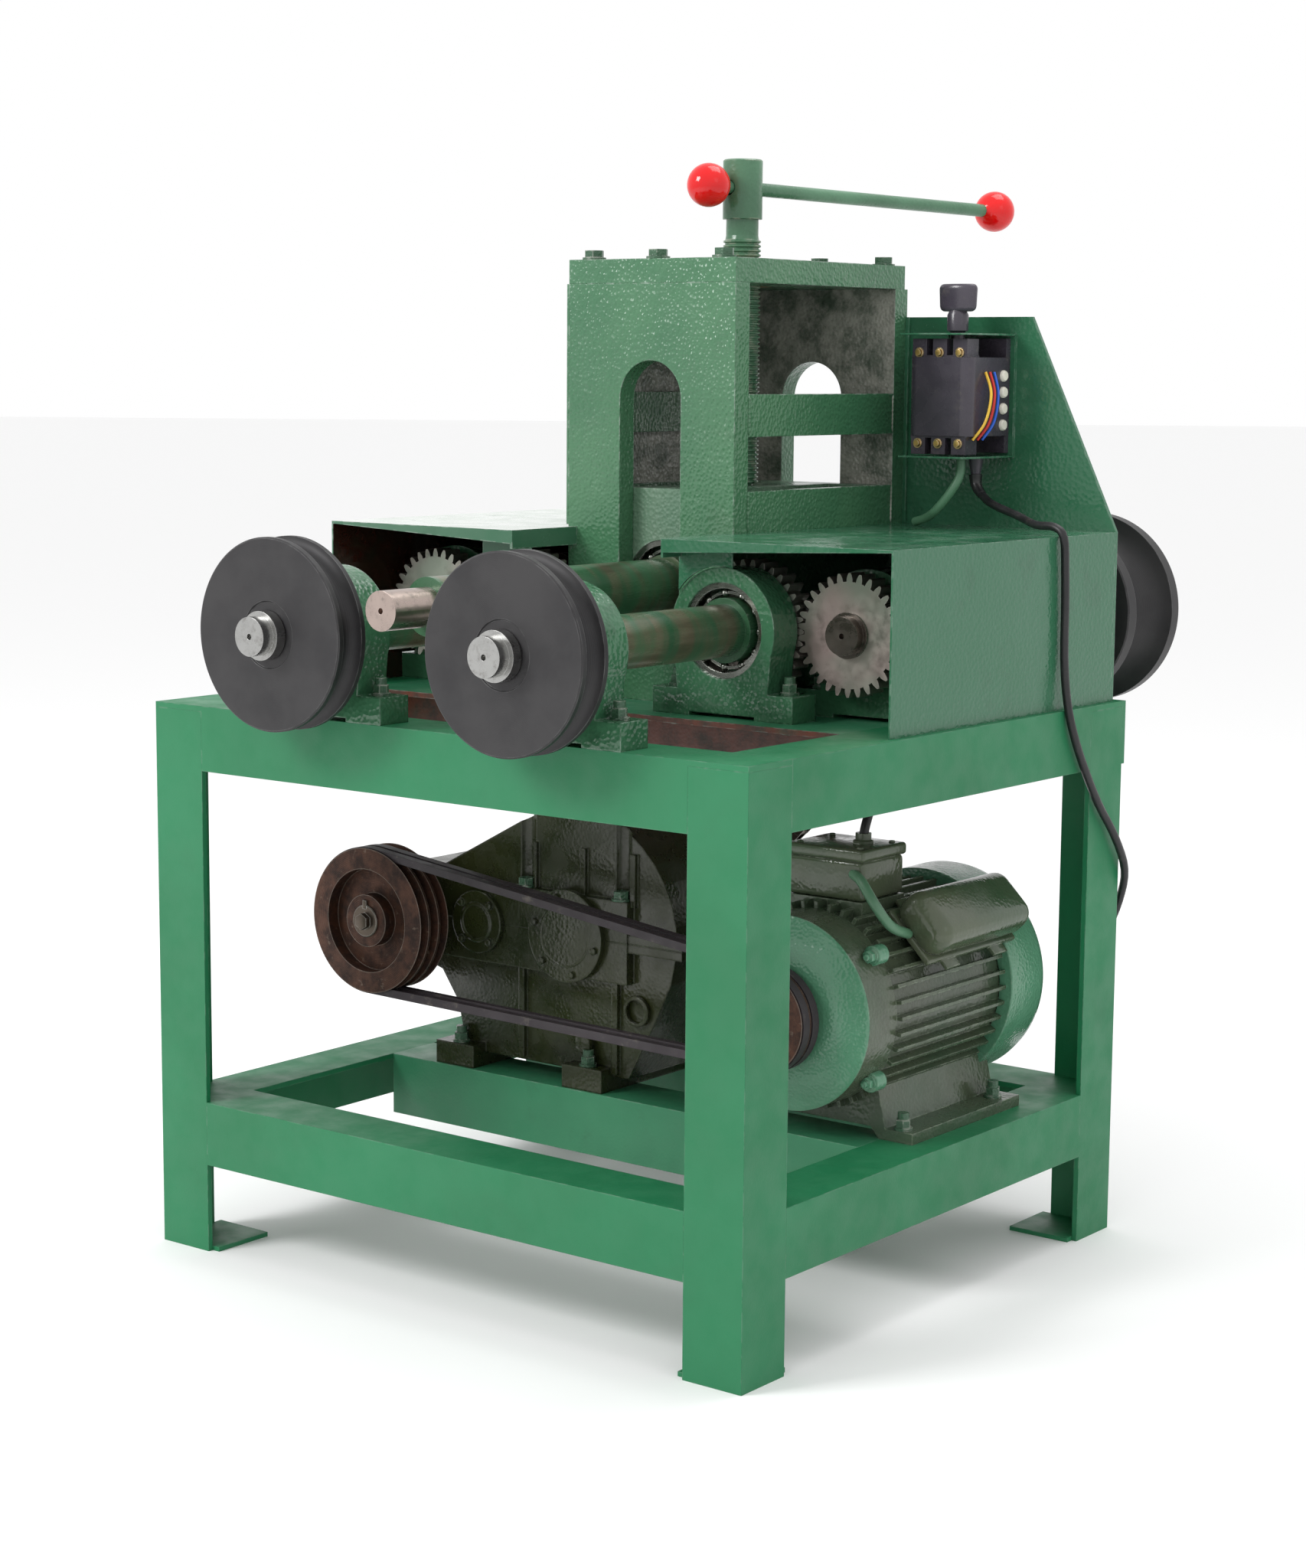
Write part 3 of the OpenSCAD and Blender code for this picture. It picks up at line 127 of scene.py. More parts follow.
def studio():
    """Pale floor, pale surroundings and three soft lights."""
    bm = bmesh.new()
    bmesh.ops.create_grid(bm, x_segments=1, y_segments=1, size=60)
    mesh = bpy.data.meshes.new("floor")
    bm.to_mesh(mesh)
    bm.free()
    floor = bpy.data.objects.new("floor", mesh)
    bpy.context.collection.objects.link(floor)
    material = bpy.data.materials.new("pale_floor")
    material.use_nodes = True
    surface = material.node_tree.nodes["Principled BSDF"]
    surface.inputs["Base Color"].default_value = (0.93, 0.93, 0.93, 1)
    surface.inputs["Roughness"].default_value = 0.9
    mesh.materials.append(material)
    world = bpy.data.worlds.new("studio")
    world.use_nodes = True
    sky = world.node_tree.nodes["Background"]
    sky.inputs["Color"].default_value = (1, 1, 1, 1)
    sky.inputs["Strength"].default_value = 1.0
    bpy.context.scene.world = world
    bpy.context.scene.view_settings.view_transform = "Standard"
    soft_box("key", (-1.7, -3.3, 3.0), (0, 0, 0.6), 1.4, 100)
    soft_box("fill", (3.8, -0.6, 2.6), (0, 0, 0.6), 1.4, 3)
    soft_box("top", (0.4, 1.0, 3.4), (0, 0, 0.8), 1.6, 26)


look()
studio()


# ---- shader building blocks ----


def srgb(red, green, blue):
    """Paint colour from its 0 to 255 display values."""
    return tuple((v / 255) ** 2.2 for v in (red, green, blue)) + (1,)


class Coat:
    """One material under construction, with short calls for the nodes it needs."""

    def __init__(self, name, metal=0.0, specular=0.5):
        self.material = bpy.data.materials.new(name)
        self.material.use_nodes = True
        self.nodes = self.material.node_tree.nodes
        self.links = self.material.node_tree.links
        self.surface = self.nodes["Principled BSDF"]
        self.surface.inputs["Metallic"].default_value = metal
        self.surface.inputs["Specular IOR Level"].default_value = specular
        self.place = self.nodes.new("ShaderNodeTexCoord").outputs["Object"]

    def feed(self, socket, value):
        """Link an output to a socket, or set the socket to a plain value."""
        if isinstance(value, bpy.types.NodeSocket):
            self.links.new(value, socket)
        else:
            socket.default_value = value

    def mapped(self, centre=(0, 0, 0), stretch=(1, 1, 1)):
        """Object coordinates measured from a centre and stretched."""
        node = self.nodes.new("ShaderNodeMapping")
        self.feed(node.inputs["Vector"], self.place)
        node.inputs["Location"].default_value = [-c * s for c, s in zip(centre, stretch)]
        node.inputs["Scale"].default_value = stretch
        return node.outputs["Vector"]

    def noise(self, scale, detail=4.0, rough=0.55, vector=None):
        """Cloudy noise from 0 to 1; scale is blobs per metre."""
        node = self.nodes.new("ShaderNodeTexNoise")
        self.feed(node.inputs["Vector"], vector or self.place)
        node.inputs["Scale"].default_value = scale
        node.inputs["Detail"].default_value = detail
        node.inputs["Roughness"].default_value = rough
        return node.outputs["Fac"]

    def cells(self, scale, vector=None):
        """Rounded cells, as on a hammered or orange-peel coat."""
        node = self.nodes.new("ShaderNodeTexVoronoi")
        node.feature = "SMOOTH_F1"
        self.feed(node.inputs["Vector"], vector or self.place)
        node.inputs["Scale"].default_value = scale
        node.inputs["Smoothness"].default_value = 0.3
        return node.outputs["Distance"]

    def rings(self, centre, per_metre, axis="Y", wobble=0.6):
        """Turning marks round an axis through a centre."""
        node = self.nodes.new("ShaderNodeTexWave")
        node.wave_type = "RINGS"
        node.rings_direction = axis
        self.feed(node.inputs["Vector"], self.mapped(centre))
        node.inputs["Scale"].default_value = per_metre
        node.inputs["Distortion"].default_value = wobble
        node.inputs["Detail"].default_value = 2.0
        return node.outputs["Fac"]

    def math(self, operation, first, second=0.0):
        """One arithmetic step."""
        node = self.nodes.new("ShaderNodeMath")
        node.operation = operation
        self.feed(node.inputs[0], first)
        self.feed(node.inputs[1], second)
        return node.outputs[0]

    def band(self, value, start, end, low=0.0, high=1.0):
        """Ramp a value from low at start to high at end, held outside."""
        node = self.nodes.new("ShaderNodeMapRange")
        node.interpolation_type = "SMOOTHSTEP"
        self.feed(node.inputs["Value"], value)
        node.inputs["From Min"].default_value = start
        node.inputs["From Max"].default_value = end
        node.inputs["To Min"].default_value = low
        node.inputs["To Max"].default_value = high
        return node.outputs["Result"]

    def blend(self, share, first, second):
        """Mix two colours."""
        node = self.nodes.new("ShaderNodeMix")
        node.data_type = "RGBA"
        self.feed(node.inputs["Factor"], share)
        self.feed(node.inputs[6], first)
        self.feed(node.inputs[7], second)
        return node.outputs[2]

    def along(self, axis):
        """One coordinate of the point, in metres."""
        node = self.nodes.new("ShaderNodeSeparateXYZ")
        self.feed(node.inputs[0], self.place)
        return node.outputs[axis]

    def facing(self, axis, sign=1):
        """1 where the surface faces along an axis, 0 elsewhere."""
        normal = self.nodes.new("ShaderNodeNewGeometry").outputs["Normal"]
        node = self.nodes.new("ShaderNodeSeparateXYZ")
        self.feed(node.inputs[0], normal)
        turned_way = self.math("MULTIPLY", node.outputs[axis], float(sign))
        return self.band(turned_way, 0.55, 0.8)

    def edges(self, width):
        """1 along rounded-over edges, fading within a width."""
        rounded = self.nodes.new("ShaderNodeBevel")
        rounded.samples = 4
        rounded.inputs["Radius"].default_value = width
        dot = self.nodes.new("ShaderNodeVectorMath")
        dot.operation = "DOT_PRODUCT"
        self.feed(dot.inputs[0], rounded.outputs["Normal"])
        self.feed(dot.inputs[1], self.nodes.new("ShaderNodeNewGeometry").outputs["Normal"])
        return self.band(dot.outputs["Value"], 0.995, 0.86)

    def relief(self, height, depth, rounding=0.0):
        """Bump from a height pattern, on edges rounded by a radius."""
        node = self.nodes.new("ShaderNodeBump")
        node.inputs["Distance"].default_value = depth
        node.inputs["Strength"].default_value = 1.0
        self.feed(node.inputs["Height"], height)
        if rounding:
            rounded = self.nodes.new("ShaderNodeBevel")
            rounded.samples = 4
            rounded.inputs["Radius"].default_value = rounding
            self.feed(node.inputs["Normal"], rounded.outputs["Normal"])
        self.feed(self.surface.inputs["Normal"], node.outputs["Normal"])

    def colour(self, value):
        """Colour of the coat."""
        self.feed(self.surface.inputs["Base Color"], value)

    def roughness(self, value):
        """Roughness of the coat."""
        self.feed(self.surface.inputs["Roughness"], value)

    def metal(self, value):
        """Share of bare metal."""
        self.feed(self.surface.inputs["Metallic"], value)


# ---- finishes ----

GREEN_FACE = srgb(32, 116, 76)
GREEN_FACE_SHADE = srgb(28, 106, 68)
GREEN_TOWER = srgb(76, 120, 88)
GREEN_COVER = srgb(50, 102, 74)
GREEN_OLIVE = srgb(50, 54, 32)
GREEN_MOTOR = srgb(76, 84, 68)
GREEN_BELL = srgb(90, 140, 112)
PRIMER = srgb(92, 52, 40)
# pale grey of worn edges, also the colour of the painted sheen on tops
WORN_AND_SHEEN_GREY = srgb(150, 165, 155)
OLD_DIRT = srgb(38, 38, 30)
STEEL = srgb(165, 165, 160)
GEAR_STEEL = srgb(168, 150, 146)
GREASE = srgb(40, 34, 28)
RUST = srgb(78, 52, 40)
ROLLER_BLACK = srgb(54, 53, 54)
SWITCH_PLUM = srgb(58, 54, 62)
CORD_BLACK = srgb(24, 24, 26)
BALL_RED = srgb(226, 20, 22)
BRASS = srgb(190, 160, 96)


def painted(name, green, shade, gloss=0.42, peel=0.00012, peel_scale=260, wear=0.35, dirt=0.25,
            rounding=0.0012, worn_and_sheen=WORN_AND_SHEEN_GREY, under_and_shade_where=None, top_sheen=0.0, under_and_shade=PRIMER,
            grime=OLD_DIRT):
    """Workshop enamel: cloudy changes of tone, orange peel, worn edges, dirt in patches, a painted
    sheen on upward faces, and an under colour where a mask asks, which inside the covers is painted
    shade.
    """
    coat = Coat(name)
    cloud = coat.noise(5, 5)
    fine = coat.noise(70, 3)
    colour = coat.blend(coat.band(cloud, 0.3, 0.75), green, shade)
    speck = coat.band(coat.noise(420, 2), 0.66, 0.74, 0, 0.35)
    colour = coat.blend(speck, colour, shade)
    patches = coat.band(coat.noise(16, 6, 0.65), 0.56, 0.72, 0, dirt)
    colour = coat.blend(patches, colour, grime)
    # painted sheen: pale streaks on upward faces, standing in for light reflected off the tops
    if top_sheen:
        start = 0.55 - 0.35 * top_sheen
        sheen_streaks = coat.band(coat.noise(24, 6, 0.7), start, start + 0.2, 0, top_sheen)
        colour = coat.blend(coat.math("MULTIPLY", sheen_streaks, coat.facing(2)), colour, worn_and_sheen)
    # under colour where a mask asks: primer on the stand, bare sheet inside the tower, and inside the
    # covers dark primer as painted shade
    if under_and_shade_where:
        rough_under_and_shade = coat.blend(coat.band(coat.noise(30, 6, 0.7), 0.35, 0.7), under_and_shade, grime)
        colour = coat.blend(under_and_shade_where(coat), colour, rough_under_and_shade)
    rubbed = coat.math("MULTIPLY", coat.edges(0.0022), coat.band(fine, 0.45, 0.6, 0, wear))
    colour = coat.blend(rubbed, colour, worn_and_sheen)
    coat.colour(colour)
    coat.roughness(coat.band(coat.noise(30, 4), 0.25, 0.8, gloss - 0.1, gloss + 0.14))
    waves = coat.math("ADD", coat.cells(peel_scale), coat.math("MULTIPLY", cloud, 2.0))
    coat.relief(waves, peel, rounding)
    return coat.material


def inside_deck(coat):
    """Under the deck, on every face but the tops."""
    high = coat.band(coat.along(2), DECK_Z - 0.08, DECK_Z - 0.072)
    buried = coat.math("MULTIPLY", high, coat.math("SUBTRACT", 1.0, coat.facing(2)))
    return coat.math("MULTIPLY", buried, coat.band(coat.noise(9, 4), 0.25, 0.4, 0.75, 1.0))


def back_of_rail(coat):
    """The hollow side of the front rail's upright flange."""
    return coat.math("MULTIPLY", coat.facing(1), 0.9)


def inside_tower(coat):
    """Bare inner faces behind the tower's side opening."""
    back = coat.math("MULTIPLY", coat.facing(1, -1), coat.band(coat.along(1), 0.3, 0.302))
    left = coat.math("MULTIPLY", coat.facing(0, 1), coat.band(coat.along(0), -0.1, -0.11))
    return coat.math("MULTIPLY", coat.math("MAXIMUM", back, left), 0.92)


def inside_cover(coat):
    """The undersides and inner walls of the gear covers, where a dark under colour is painted as shade
    over the primer.
    """
    # downward faces of the covers, painted dark as shade
    under_and_shade = coat.facing(2, -1)
    left = coat.math("MULTIPLY", coat.facing(0, 1), coat.band(coat.along(0), -0.3, -0.34))
    right = coat.math("MULTIPLY", coat.facing(0, -1), coat.band(coat.along(0), 0.34, 0.38))
    return coat.math("MINIMUM", coat.math("ADD", under_and_shade, coat.math("ADD", left, right)), 1.0)


def bare_steel(name, tint=STEEL, centre=None, rough=0.32, grime=0.4, rounding=0.0006):
    """Machined steel with oily patches, turned when a centre is given."""
    coat = Coat(name, metal=1.0)
    smear = coat.band(coat.noise(22, 5, 0.6), 0.5, 0.72, 0, grime)
    colour = coat.blend(smear, tint, GREASE)
    rub = coat.math("MULTIPLY", coat.edges(0.0015), 0.5)
    coat.colour(coat.blend(rub, colour, srgb(205, 205, 200)))
    if centre:
        marks = coat.rings(centre, 420)
    else:
        marks = coat.noise(60, 3, vector=coat.mapped(stretch=(1, 14, 14)))
    coat.roughness(coat.math("ADD", coat.band(marks, 0, 1, rough - 0.08, rough + 0.1),
                             coat.math("MULTIPLY", smear, 0.4)))
    coat.relief(marks, 0.00004, rounding)
    return coat.material


def worn_shaft(name, steel_end, tint=STEEL):
    """Green painted shaft, rubbed to brown steel in soft bands, with a bare machined end."""
    coat = Coat(name)
    y = coat.along(1)
    end = coat.band(y, steel_end - 0.003, steel_end, 1.0, 0.0)
    bands = coat.noise(18, 3, vector=coat.mapped(stretch=(0.3, 1.6, 0.3)))
    streaks = coat.noise(60, 5, 0.65, coat.mapped(stretch=(1, 0.15, 1)))
    rubbed = coat.math("MULTIPLY", coat.band(bands, 0.42, 0.62), coat.band(streaks, 0.3, 0.6, 0.4, 0.9))
    paint = coat.blend(coat.band(coat.noise(9, 4), 0.3, 0.7), srgb(66, 106, 76), srgb(44, 78, 54))
    brown = coat.blend(coat.band(streaks, 0.35, 0.7), srgb(128, 118, 98), srgb(86, 84, 66))
    steel = coat.blend(coat.band(coat.noise(140, 4, 0.6), 0.5, 0.8, 0, 0.6), tint,
                       srgb(110, 106, 102))
    coat.colour(coat.blend(end, coat.blend(rubbed, paint, brown), steel))
    coat.metal(coat.math("MAXIMUM", coat.math("MULTIPLY", rubbed, 0.5), end))
    coat.roughness(coat.band(streaks, 0.2, 0.8, 0.2, 0.38))
    coat.relief(coat.noise(260, 3), 0.0001, 0.0008)
    return coat.material


def turned_black(name, centre):
    """Blackened roller steel with turning marks round its axis."""
    coat = Coat(name, metal=0.35)
    marks = coat.rings(centre, 300, wobble=0.4)
    smear = coat.noise(14, 5, 0.6)
    colour = coat.blend(coat.band(smear, 0.35, 0.75), ROLLER_BLACK, srgb(40, 39, 41))
    colour = coat.blend(coat.band(marks, 0.4, 1.0, 0, 0.18), colour, srgb(84, 84, 84))
    rub = coat.math("MULTIPLY", coat.edges(0.0014), coat.band(coat.noise(50, 3), 0.4, 0.6, 0.1, 0.7))
    coat.colour(coat.blend(rub, colour, srgb(120, 120, 120)))
    coat.roughness(coat.band(marks, 0, 1, 0.46, 0.6))
    coat.relief(coat.math("ADD", marks, coat.math("MULTIPLY", smear, 0.5)), 0.00003, 0.0006)
    return coat.material


def gear_metal(name):
    """Bright tooth steel with greasy patches."""
    coat = Coat(name, metal=0.85)
    smear = coat.band(coat.noise(35, 6, 0.65), 0.5, 0.72, 0, 0.4)
    tint = coat.blend(coat.band(coat.noise(7, 3), 0.35, 0.65), GEAR_STEEL, srgb(142, 152, 138))
    colour = coat.blend(smear, tint, GREASE)
    rub = coat.math("MULTIPLY", coat.edges(0.0012), 0.6)
    coat.colour(coat.blend(rub, colour, srgb(205, 192, 188)))
    coat.roughness(coat.band(coat.noise(80, 3), 0.2, 0.8, 0.3, 0.5))
    coat.relief(coat.noise(500, 2), 0.00004, 0.0005)
    return coat.material


def rusty_iron(name, centre):
    """Cast iron pulley, rusty, with bright rubbed edges."""
    coat = Coat(name, metal=0.55)
    blotch = coat.noise(45, 7, 0.7)
    colour = coat.blend(coat.band(blotch, 0.35, 0.68), RUST, srgb(48, 36, 32))
    colour = coat.blend(coat.band(coat.noise(120, 4), 0.6, 0.75, 0, 0.6), colour, srgb(120, 104, 92))
    coat.colour(coat.blend(coat.math("MULTIPLY", coat.edges(0.002), 0.6), colour, srgb(150, 140, 130)))
    coat.roughness(coat.band(blotch, 0.2, 0.8, 0.42, 0.75))
    marks = coat.rings(centre, 160, wobble=0.8)
    coat.relief(coat.math("ADD", marks, coat.math("MULTIPLY", coat.noise(260, 4), 1.5)), 0.00012,
                0.0008)
    return coat.material


def moulded(name, tint, rough=0.4, dust=0.25, grain=0.00005, specular=0.5):
    """Moulded plastic or rubber with fine grain and dust."""
    coat = Coat(name, specular=specular)
    lift = coat.blend(coat.band(coat.noise(12, 4), 0.3, 0.75), tint,
                      tuple(min(1, c * 1.5 + 0.004) for c in tint[:3]) + (1,))
    dusty = coat.band(coat.noise(60, 6, 0.7), 0.55, 0.75, 0, dust)
    coat.colour(coat.blend(dusty, lift, srgb(128, 120, 108)))
    coat.roughness(coat.band(coat.noise(40, 4), 0.25, 0.8, rough - 0.08, rough + 0.15))
    coat.relief(coat.noise(900, 2), grain, 0.0008)
    return coat.material


def glossy_ball(name):
    """Bright enamelled knob with faint scuffs."""
    coat = Coat(name)
    scuff = coat.band(coat.noise(160, 5, 0.7), 0.66, 0.78, 0, 0.15)
    deep = coat.blend(coat.band(coat.noise(18, 2), 0.3, 0.7), BALL_RED, srgb(206, 14, 20))
    coat.colour(coat.blend(scuff, deep, srgb(240, 110, 100)))
    coat.roughness(coat.band(coat.noise(70, 4), 0.3, 0.8, 0.08, 0.2))
    coat.relief(coat.noise(120, 2), 0.00006)
    return coat.material


stand_green = painted("stand_green", GREEN_FACE, GREEN_FACE_SHADE, 0.5, 0.00006, 420, 0.25, 0.05)
rail_green = painted("rail_green", GREEN_FACE, GREEN_FACE_SHADE, 0.5, 0.00006, 420, 0.25, 0.05,
                     under_and_shade_where=back_of_rail)
# a lighter copy of the stand green for the cross members and deck plate: painted light, so that their
# faces in shade read as lit
lit_cross_green = painted("lit_cross_green", srgb(58, 128, 92), srgb(48, 108, 78), 0.4, 0.0001, 300, 0.4,
                      0.2, under_and_shade_where=inside_deck)
tower_green = painted("tower_green", GREEN_TOWER, srgb(60, 104, 76), 0.2, 0.0009, 240, 0.8, 0.15,
                      0.0018, under_and_shade_where=inside_tower, top_sheen=0.35, under_and_shade=srgb(176, 172, 164),
                      worn_and_sheen=srgb(168, 182, 172), grime=srgb(84, 92, 82))
block_green = painted("block_green", srgb(68, 114, 84), srgb(44, 82, 58), 0.16, 0.0007, 200, 0.7,
                      0.35, 0.003, worn_and_sheen=srgb(150, 170, 156), grime=srgb(26, 36, 28))
# the under colour of the covers is dark brown: primer darkened as painted shade
cover_green = painted("cover_green", GREEN_COVER, srgb(58, 106, 80), 0.2, 0.0003, 200, 0.5, 0.12,
                      0.0008, under_and_shade_where=inside_cover, top_sheen=0.25, under_and_shade=srgb(44, 30, 26))
# the left cover: a lit copy of the cover green, with a lighter random tone and a painted sheen over
# nearly all of its top; inside, the dark under colour is painted shade over primer
sheen_cover = painted("sheen_cover", GREEN_COVER, srgb(80, 112, 92), 0.16, 0.0002, 60, 0.6, 0.1,
                     0.0008, under_and_shade_where=inside_cover, top_sheen=0.95, under_and_shade=srgb(58, 34, 28),
                     worn_and_sheen=srgb(188, 196, 188))
gearbox_green = painted("gearbox_green", GREEN_OLIVE, srgb(34, 40, 24), 0.26, 0.0002, 240, 0.3,
                        0.4, 0.003, worn_and_sheen=srgb(100, 116, 84), grime=srgb(24, 24, 16))
bell_green = painted("bell_green", GREEN_BELL, srgb(66, 114, 86), 0.16, 0.0004, 300, 0.5, 0.1,
                     0.0015, worn_and_sheen=srgb(160, 178, 160), grime=srgb(40, 50, 38))
case_green = painted("case_green", srgb(84, 90, 72), srgb(56, 76, 56), 0.16, 0.0002, 240, 0.6, 0.2,
                     0.0015, worn_and_sheen=srgb(160, 168, 150), grime=srgb(46, 44, 34))
motor_green = painted("motor_green", GREEN_MOTOR, srgb(58, 82, 62), 0.24, 0.0003, 240, 0.5, 0.25,
                      0.0015, worn_and_sheen=srgb(150, 165, 140), grime=srgb(44, 42, 32))
bolt_green = painted("bolt_green", srgb(70, 104, 80), srgb(46, 74, 56), 0.28, 0.0004, 400, 0.9,
                     0.45, 0.0006, worn_and_sheen=srgb(180, 182, 172), grime=srgb(30, 28, 22))
carriage_green = painted("carriage_green", srgb(86, 122, 98), srgb(120, 140, 122), 0.28, 0.0008,
                         240, 0.8, 0.3, 0.001, worn_and_sheen=srgb(176, 182, 174))
bearing_steel = bare_steel("bearing_steel", srgb(140, 142, 136), rough=0.22, grime=0.35)
plain_steel = bare_steel("plain_steel")
chain_steel = bare_steel("chain_steel", srgb(92, 84, 76), rough=0.4, grime=0.8)
nut_bronze = bare_steel("nut_bronze", srgb(150, 120, 76), rough=0.35)
tooth_steel = gear_metal("tooth_steel")
ball_red = glossy_ball("ball_red")
switch_plum = moulded("switch_plum", SWITCH_PLUM, 0.24, 0.2, 0.0001)
belt_rubber = moulded("belt_rubber", srgb(44, 38, 42), 0.55, 0.4, 0.0001)
cord_rubber = moulded("cord_rubber", CORD_BLACK, 0.38, 0.12)
cable_green = moulded("cable_green", srgb(78, 116, 90), 0.35, 0.2)
wire_blue = moulded("wire_blue", srgb(36, 84, 180), 0.35, 0.1)
wire_red = moulded("wire_red", srgb(170, 40, 34), 0.35, 0.1)
wire_yellow = moulded("wire_yellow", srgb(200, 160, 50), 0.35, 0.1)
brass = bare_steel("brass", BRASS, rough=0.3, grime=0.2)
screw_green = painted("screw_green", srgb(88, 132, 102), srgb(60, 96, 72), 0.3, 0.0003, 200, 0.8,
                      0.45, 0.0008, worn_and_sheen=srgb(180, 175, 160))

front_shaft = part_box("roller_shaft_right")[0].y
COATS = {
    stand_green: ["stand_legs", "foot_plates", "top_rail_back", "side_rails", "lower_rails"],
    rail_green: ["top_rail_front"],
    lit_cross_green: ["cross_members", "deck_plate"],
    tower_green: ["tower_front_plate", "tower_back_plate", "tower_side_bars", "tower_top_plate"],
    block_green: ["front_pillow_blocks", "mid_pillow_blocks", "outer_pillow_blocks"],
    cover_green: ["cover_right", "switch_panel"],
    sheen_cover: ["cover_left"],
    gearbox_green: ["gearbox_housing", "gearbox_cover", "gearbox_caps"],
    motor_green: ["motor_body"],
    bolt_green: ["block_bolts", "tower_bolts", "drive_bolts"],
    bearing_steel: ["bearings", "carriage_bearings"],
    plain_steel: ["gearbox_middle", "gearbox_output"],
    nut_bronze: ["press_nut"],
    carriage_green: ["carriage"],
    tooth_steel: ["roller_gear_left", "roller_gear_right", "outer_gear_left", "outer_gear_right"],
    ball_red: ["bar_balls"],
    switch_plum: ["switch_base"],
    cord_rubber: ["cord_clips"],
    screw_green: ["press_screw", "turning_bar"],
    worn_shaft("front_shaft_green", front_shaft + 0.066, srgb(168, 168, 166)):
        ["roller_shaft_left", "roller_shaft_right"],
    worn_shaft("upper_shaft_green", -0.352, srgb(176, 160, 152)): ["upper_shaft"],
    worn_shaft("outer_shaft_green", -0.026, srgb(104, 98, 92)):
        ["outer_shaft_left", "outer_shaft_right"],
    rusty_iron("pulley_iron", middle("gearbox_input")): ["gearbox_input"],
    rusty_iron("rotor_iron", middle("motor_rotor")): ["motor_rotor"],
}


def coat_nodes():
    """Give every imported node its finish."""
    for material, nodes in COATS.items():
        for node in nodes:
            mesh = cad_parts[node].data
            mesh.materials.clear()
            mesh.materials.append(material)


coat_nodes()

# ---- mesh helpers ----


def pour(bm, part, matrix=None):
    """Add a finished part to a bmesh, and free the part."""
    if matrix:
        bmesh.ops.transform(part, matrix=matrix, verts=part.verts)
    mesh = bpy.data.meshes.new("pour")
    part.to_mesh(mesh)
    part.free()
    bm.from_mesh(mesh)
    bpy.data.meshes.remove(mesh)


def turned(bm, outline, centre, axis=(0, 1, 0), steps=96, closed=False):
    """Lathe work: an outline of (radius, along) pairs spun round an axis through a centre."""
    part = bmesh.new()
    verts = [part.verts.new((radius, along, 0)) for radius, along in outline]
    edges = [part.edges.new(pair) for pair in zip(verts, verts[1:])]
    if closed:
        edges.append(part.edges.new((verts[-1], verts[0])))
    bmesh.ops.spin(part, geom=verts + edges, cent=(0, 0, 0), axis=(0, 1, 0),
                   angle=2 * math.pi, steps=steps, use_merge=True)
    bmesh.ops.remove_doubles(part, verts=part.verts, dist=1e-6)
    bmesh.ops.recalc_face_normals(part, faces=part.faces)
    turn = Vector((0, 1, 0)).rotation_difference(Vector(axis)).to_matrix().to_4x4()
    pour(bm, part, Matrix.Translation(centre) @ turn)


def block(bm, low, high, round_by=0.0, segments=3, matrix=None):
    """Box between two corners with its edges rounded."""
    part = bmesh.new()
    bmesh.ops.create_cube(part, size=1)
    low, high = Vector(low), Vector(high)
    bmesh.ops.scale(part, vec=high - low, verts=part.verts)
    bmesh.ops.translate(part, vec=(low + high) / 2, verts=part.verts)
    if round_by:
        bmesh.ops.bevel(part, geom=part.edges[:], offset=round_by, offset_type="OFFSET",
                        segments=segments, profile=0.5, affect="EDGES", material=-1)
    pour(bm, part, matrix)


def hexagon(bm, centre, across, height, axis=(0, 0, 1)):
    """Hex head or nut with its corners turned off."""
    part = bmesh.new()
    bmesh.ops.create_cone(part, cap_ends=True, segments=6, radius1=across * 0.577,
                          radius2=across * 0.577, depth=height)
    bmesh.ops.bevel(part, geom=part.edges[:], offset=across * 0.035, offset_type="OFFSET",
                    segments=2, profile=0.5, affect="EDGES", material=-1)
    turn = Vector((0, 0, 1)).rotation_difference(Vector(axis)).to_matrix().to_4x4()
    pour(bm, part, Matrix.Translation(Vector(centre) + Vector(axis) * height / 2) @ turn)


def bolt(bm, seat, across, axis=(0, 0, 1), stud=0.0):
    """Washer, hex and a short stud standing on a seat."""
    washer = across * 0.12
    turned(bm, [(0, 0), (across * 0.68, 0), (across * 0.68, washer * 0.7),
                (across * 0.64, washer), (0, washer)], seat, axis, 32)
    base = Vector(seat) + Vector(axis) * washer
    hexagon(bm, base, across, across * 0.5, axis)
    if stud:
        turned(bm, [(0, 0), (across * 0.3, 0), (across * 0.3, stud - 0.001),
                    (across * 0.24, stud), (0, stud)], base + Vector(axis) * across * 0.5,
               axis, 24)


def piece(bm, name, material, body, nodes=(), sharp=35):
    """Turn a bmesh into a piece that rides on a body, and stands for any nodes named."""
    mesh = bpy.data.meshes.new(name)
    bm.to_mesh(mesh)
    bm.free()
    mesh.materials.append(material)
    mesh.shade_smooth()
    mesh.set_sharp_from_angle(angle=math.radians(sharp))
    made = bpy.data.objects.new(name, mesh)
    bpy.context.collection.objects.link(made)
    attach(made, body)
    if nodes:
        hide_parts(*nodes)
    return made


def millimetres(points):
    """Listed points in millimetres as vectors in metres."""
    return [Vector(p) / 1000 for p in points]


def smooth_route(points, steps):
    """Points of a smooth curve through given points."""
    route = []
    last = len(points) - 1
    for i in range(last):
        a, b = points[max(i - 1, 0)], points[i]
        c, d = points[i + 1], points[min(i + 2, last)]
        for k in range(steps):
            t = k / steps
            route.append(0.5 * (2 * b + (c - a) * t + (2 * a - 5 * b + 4 * c - d) * t * t
                                + (3 * b - a - 3 * c + d) * t ** 3))
    route.append(points[last])
    return route


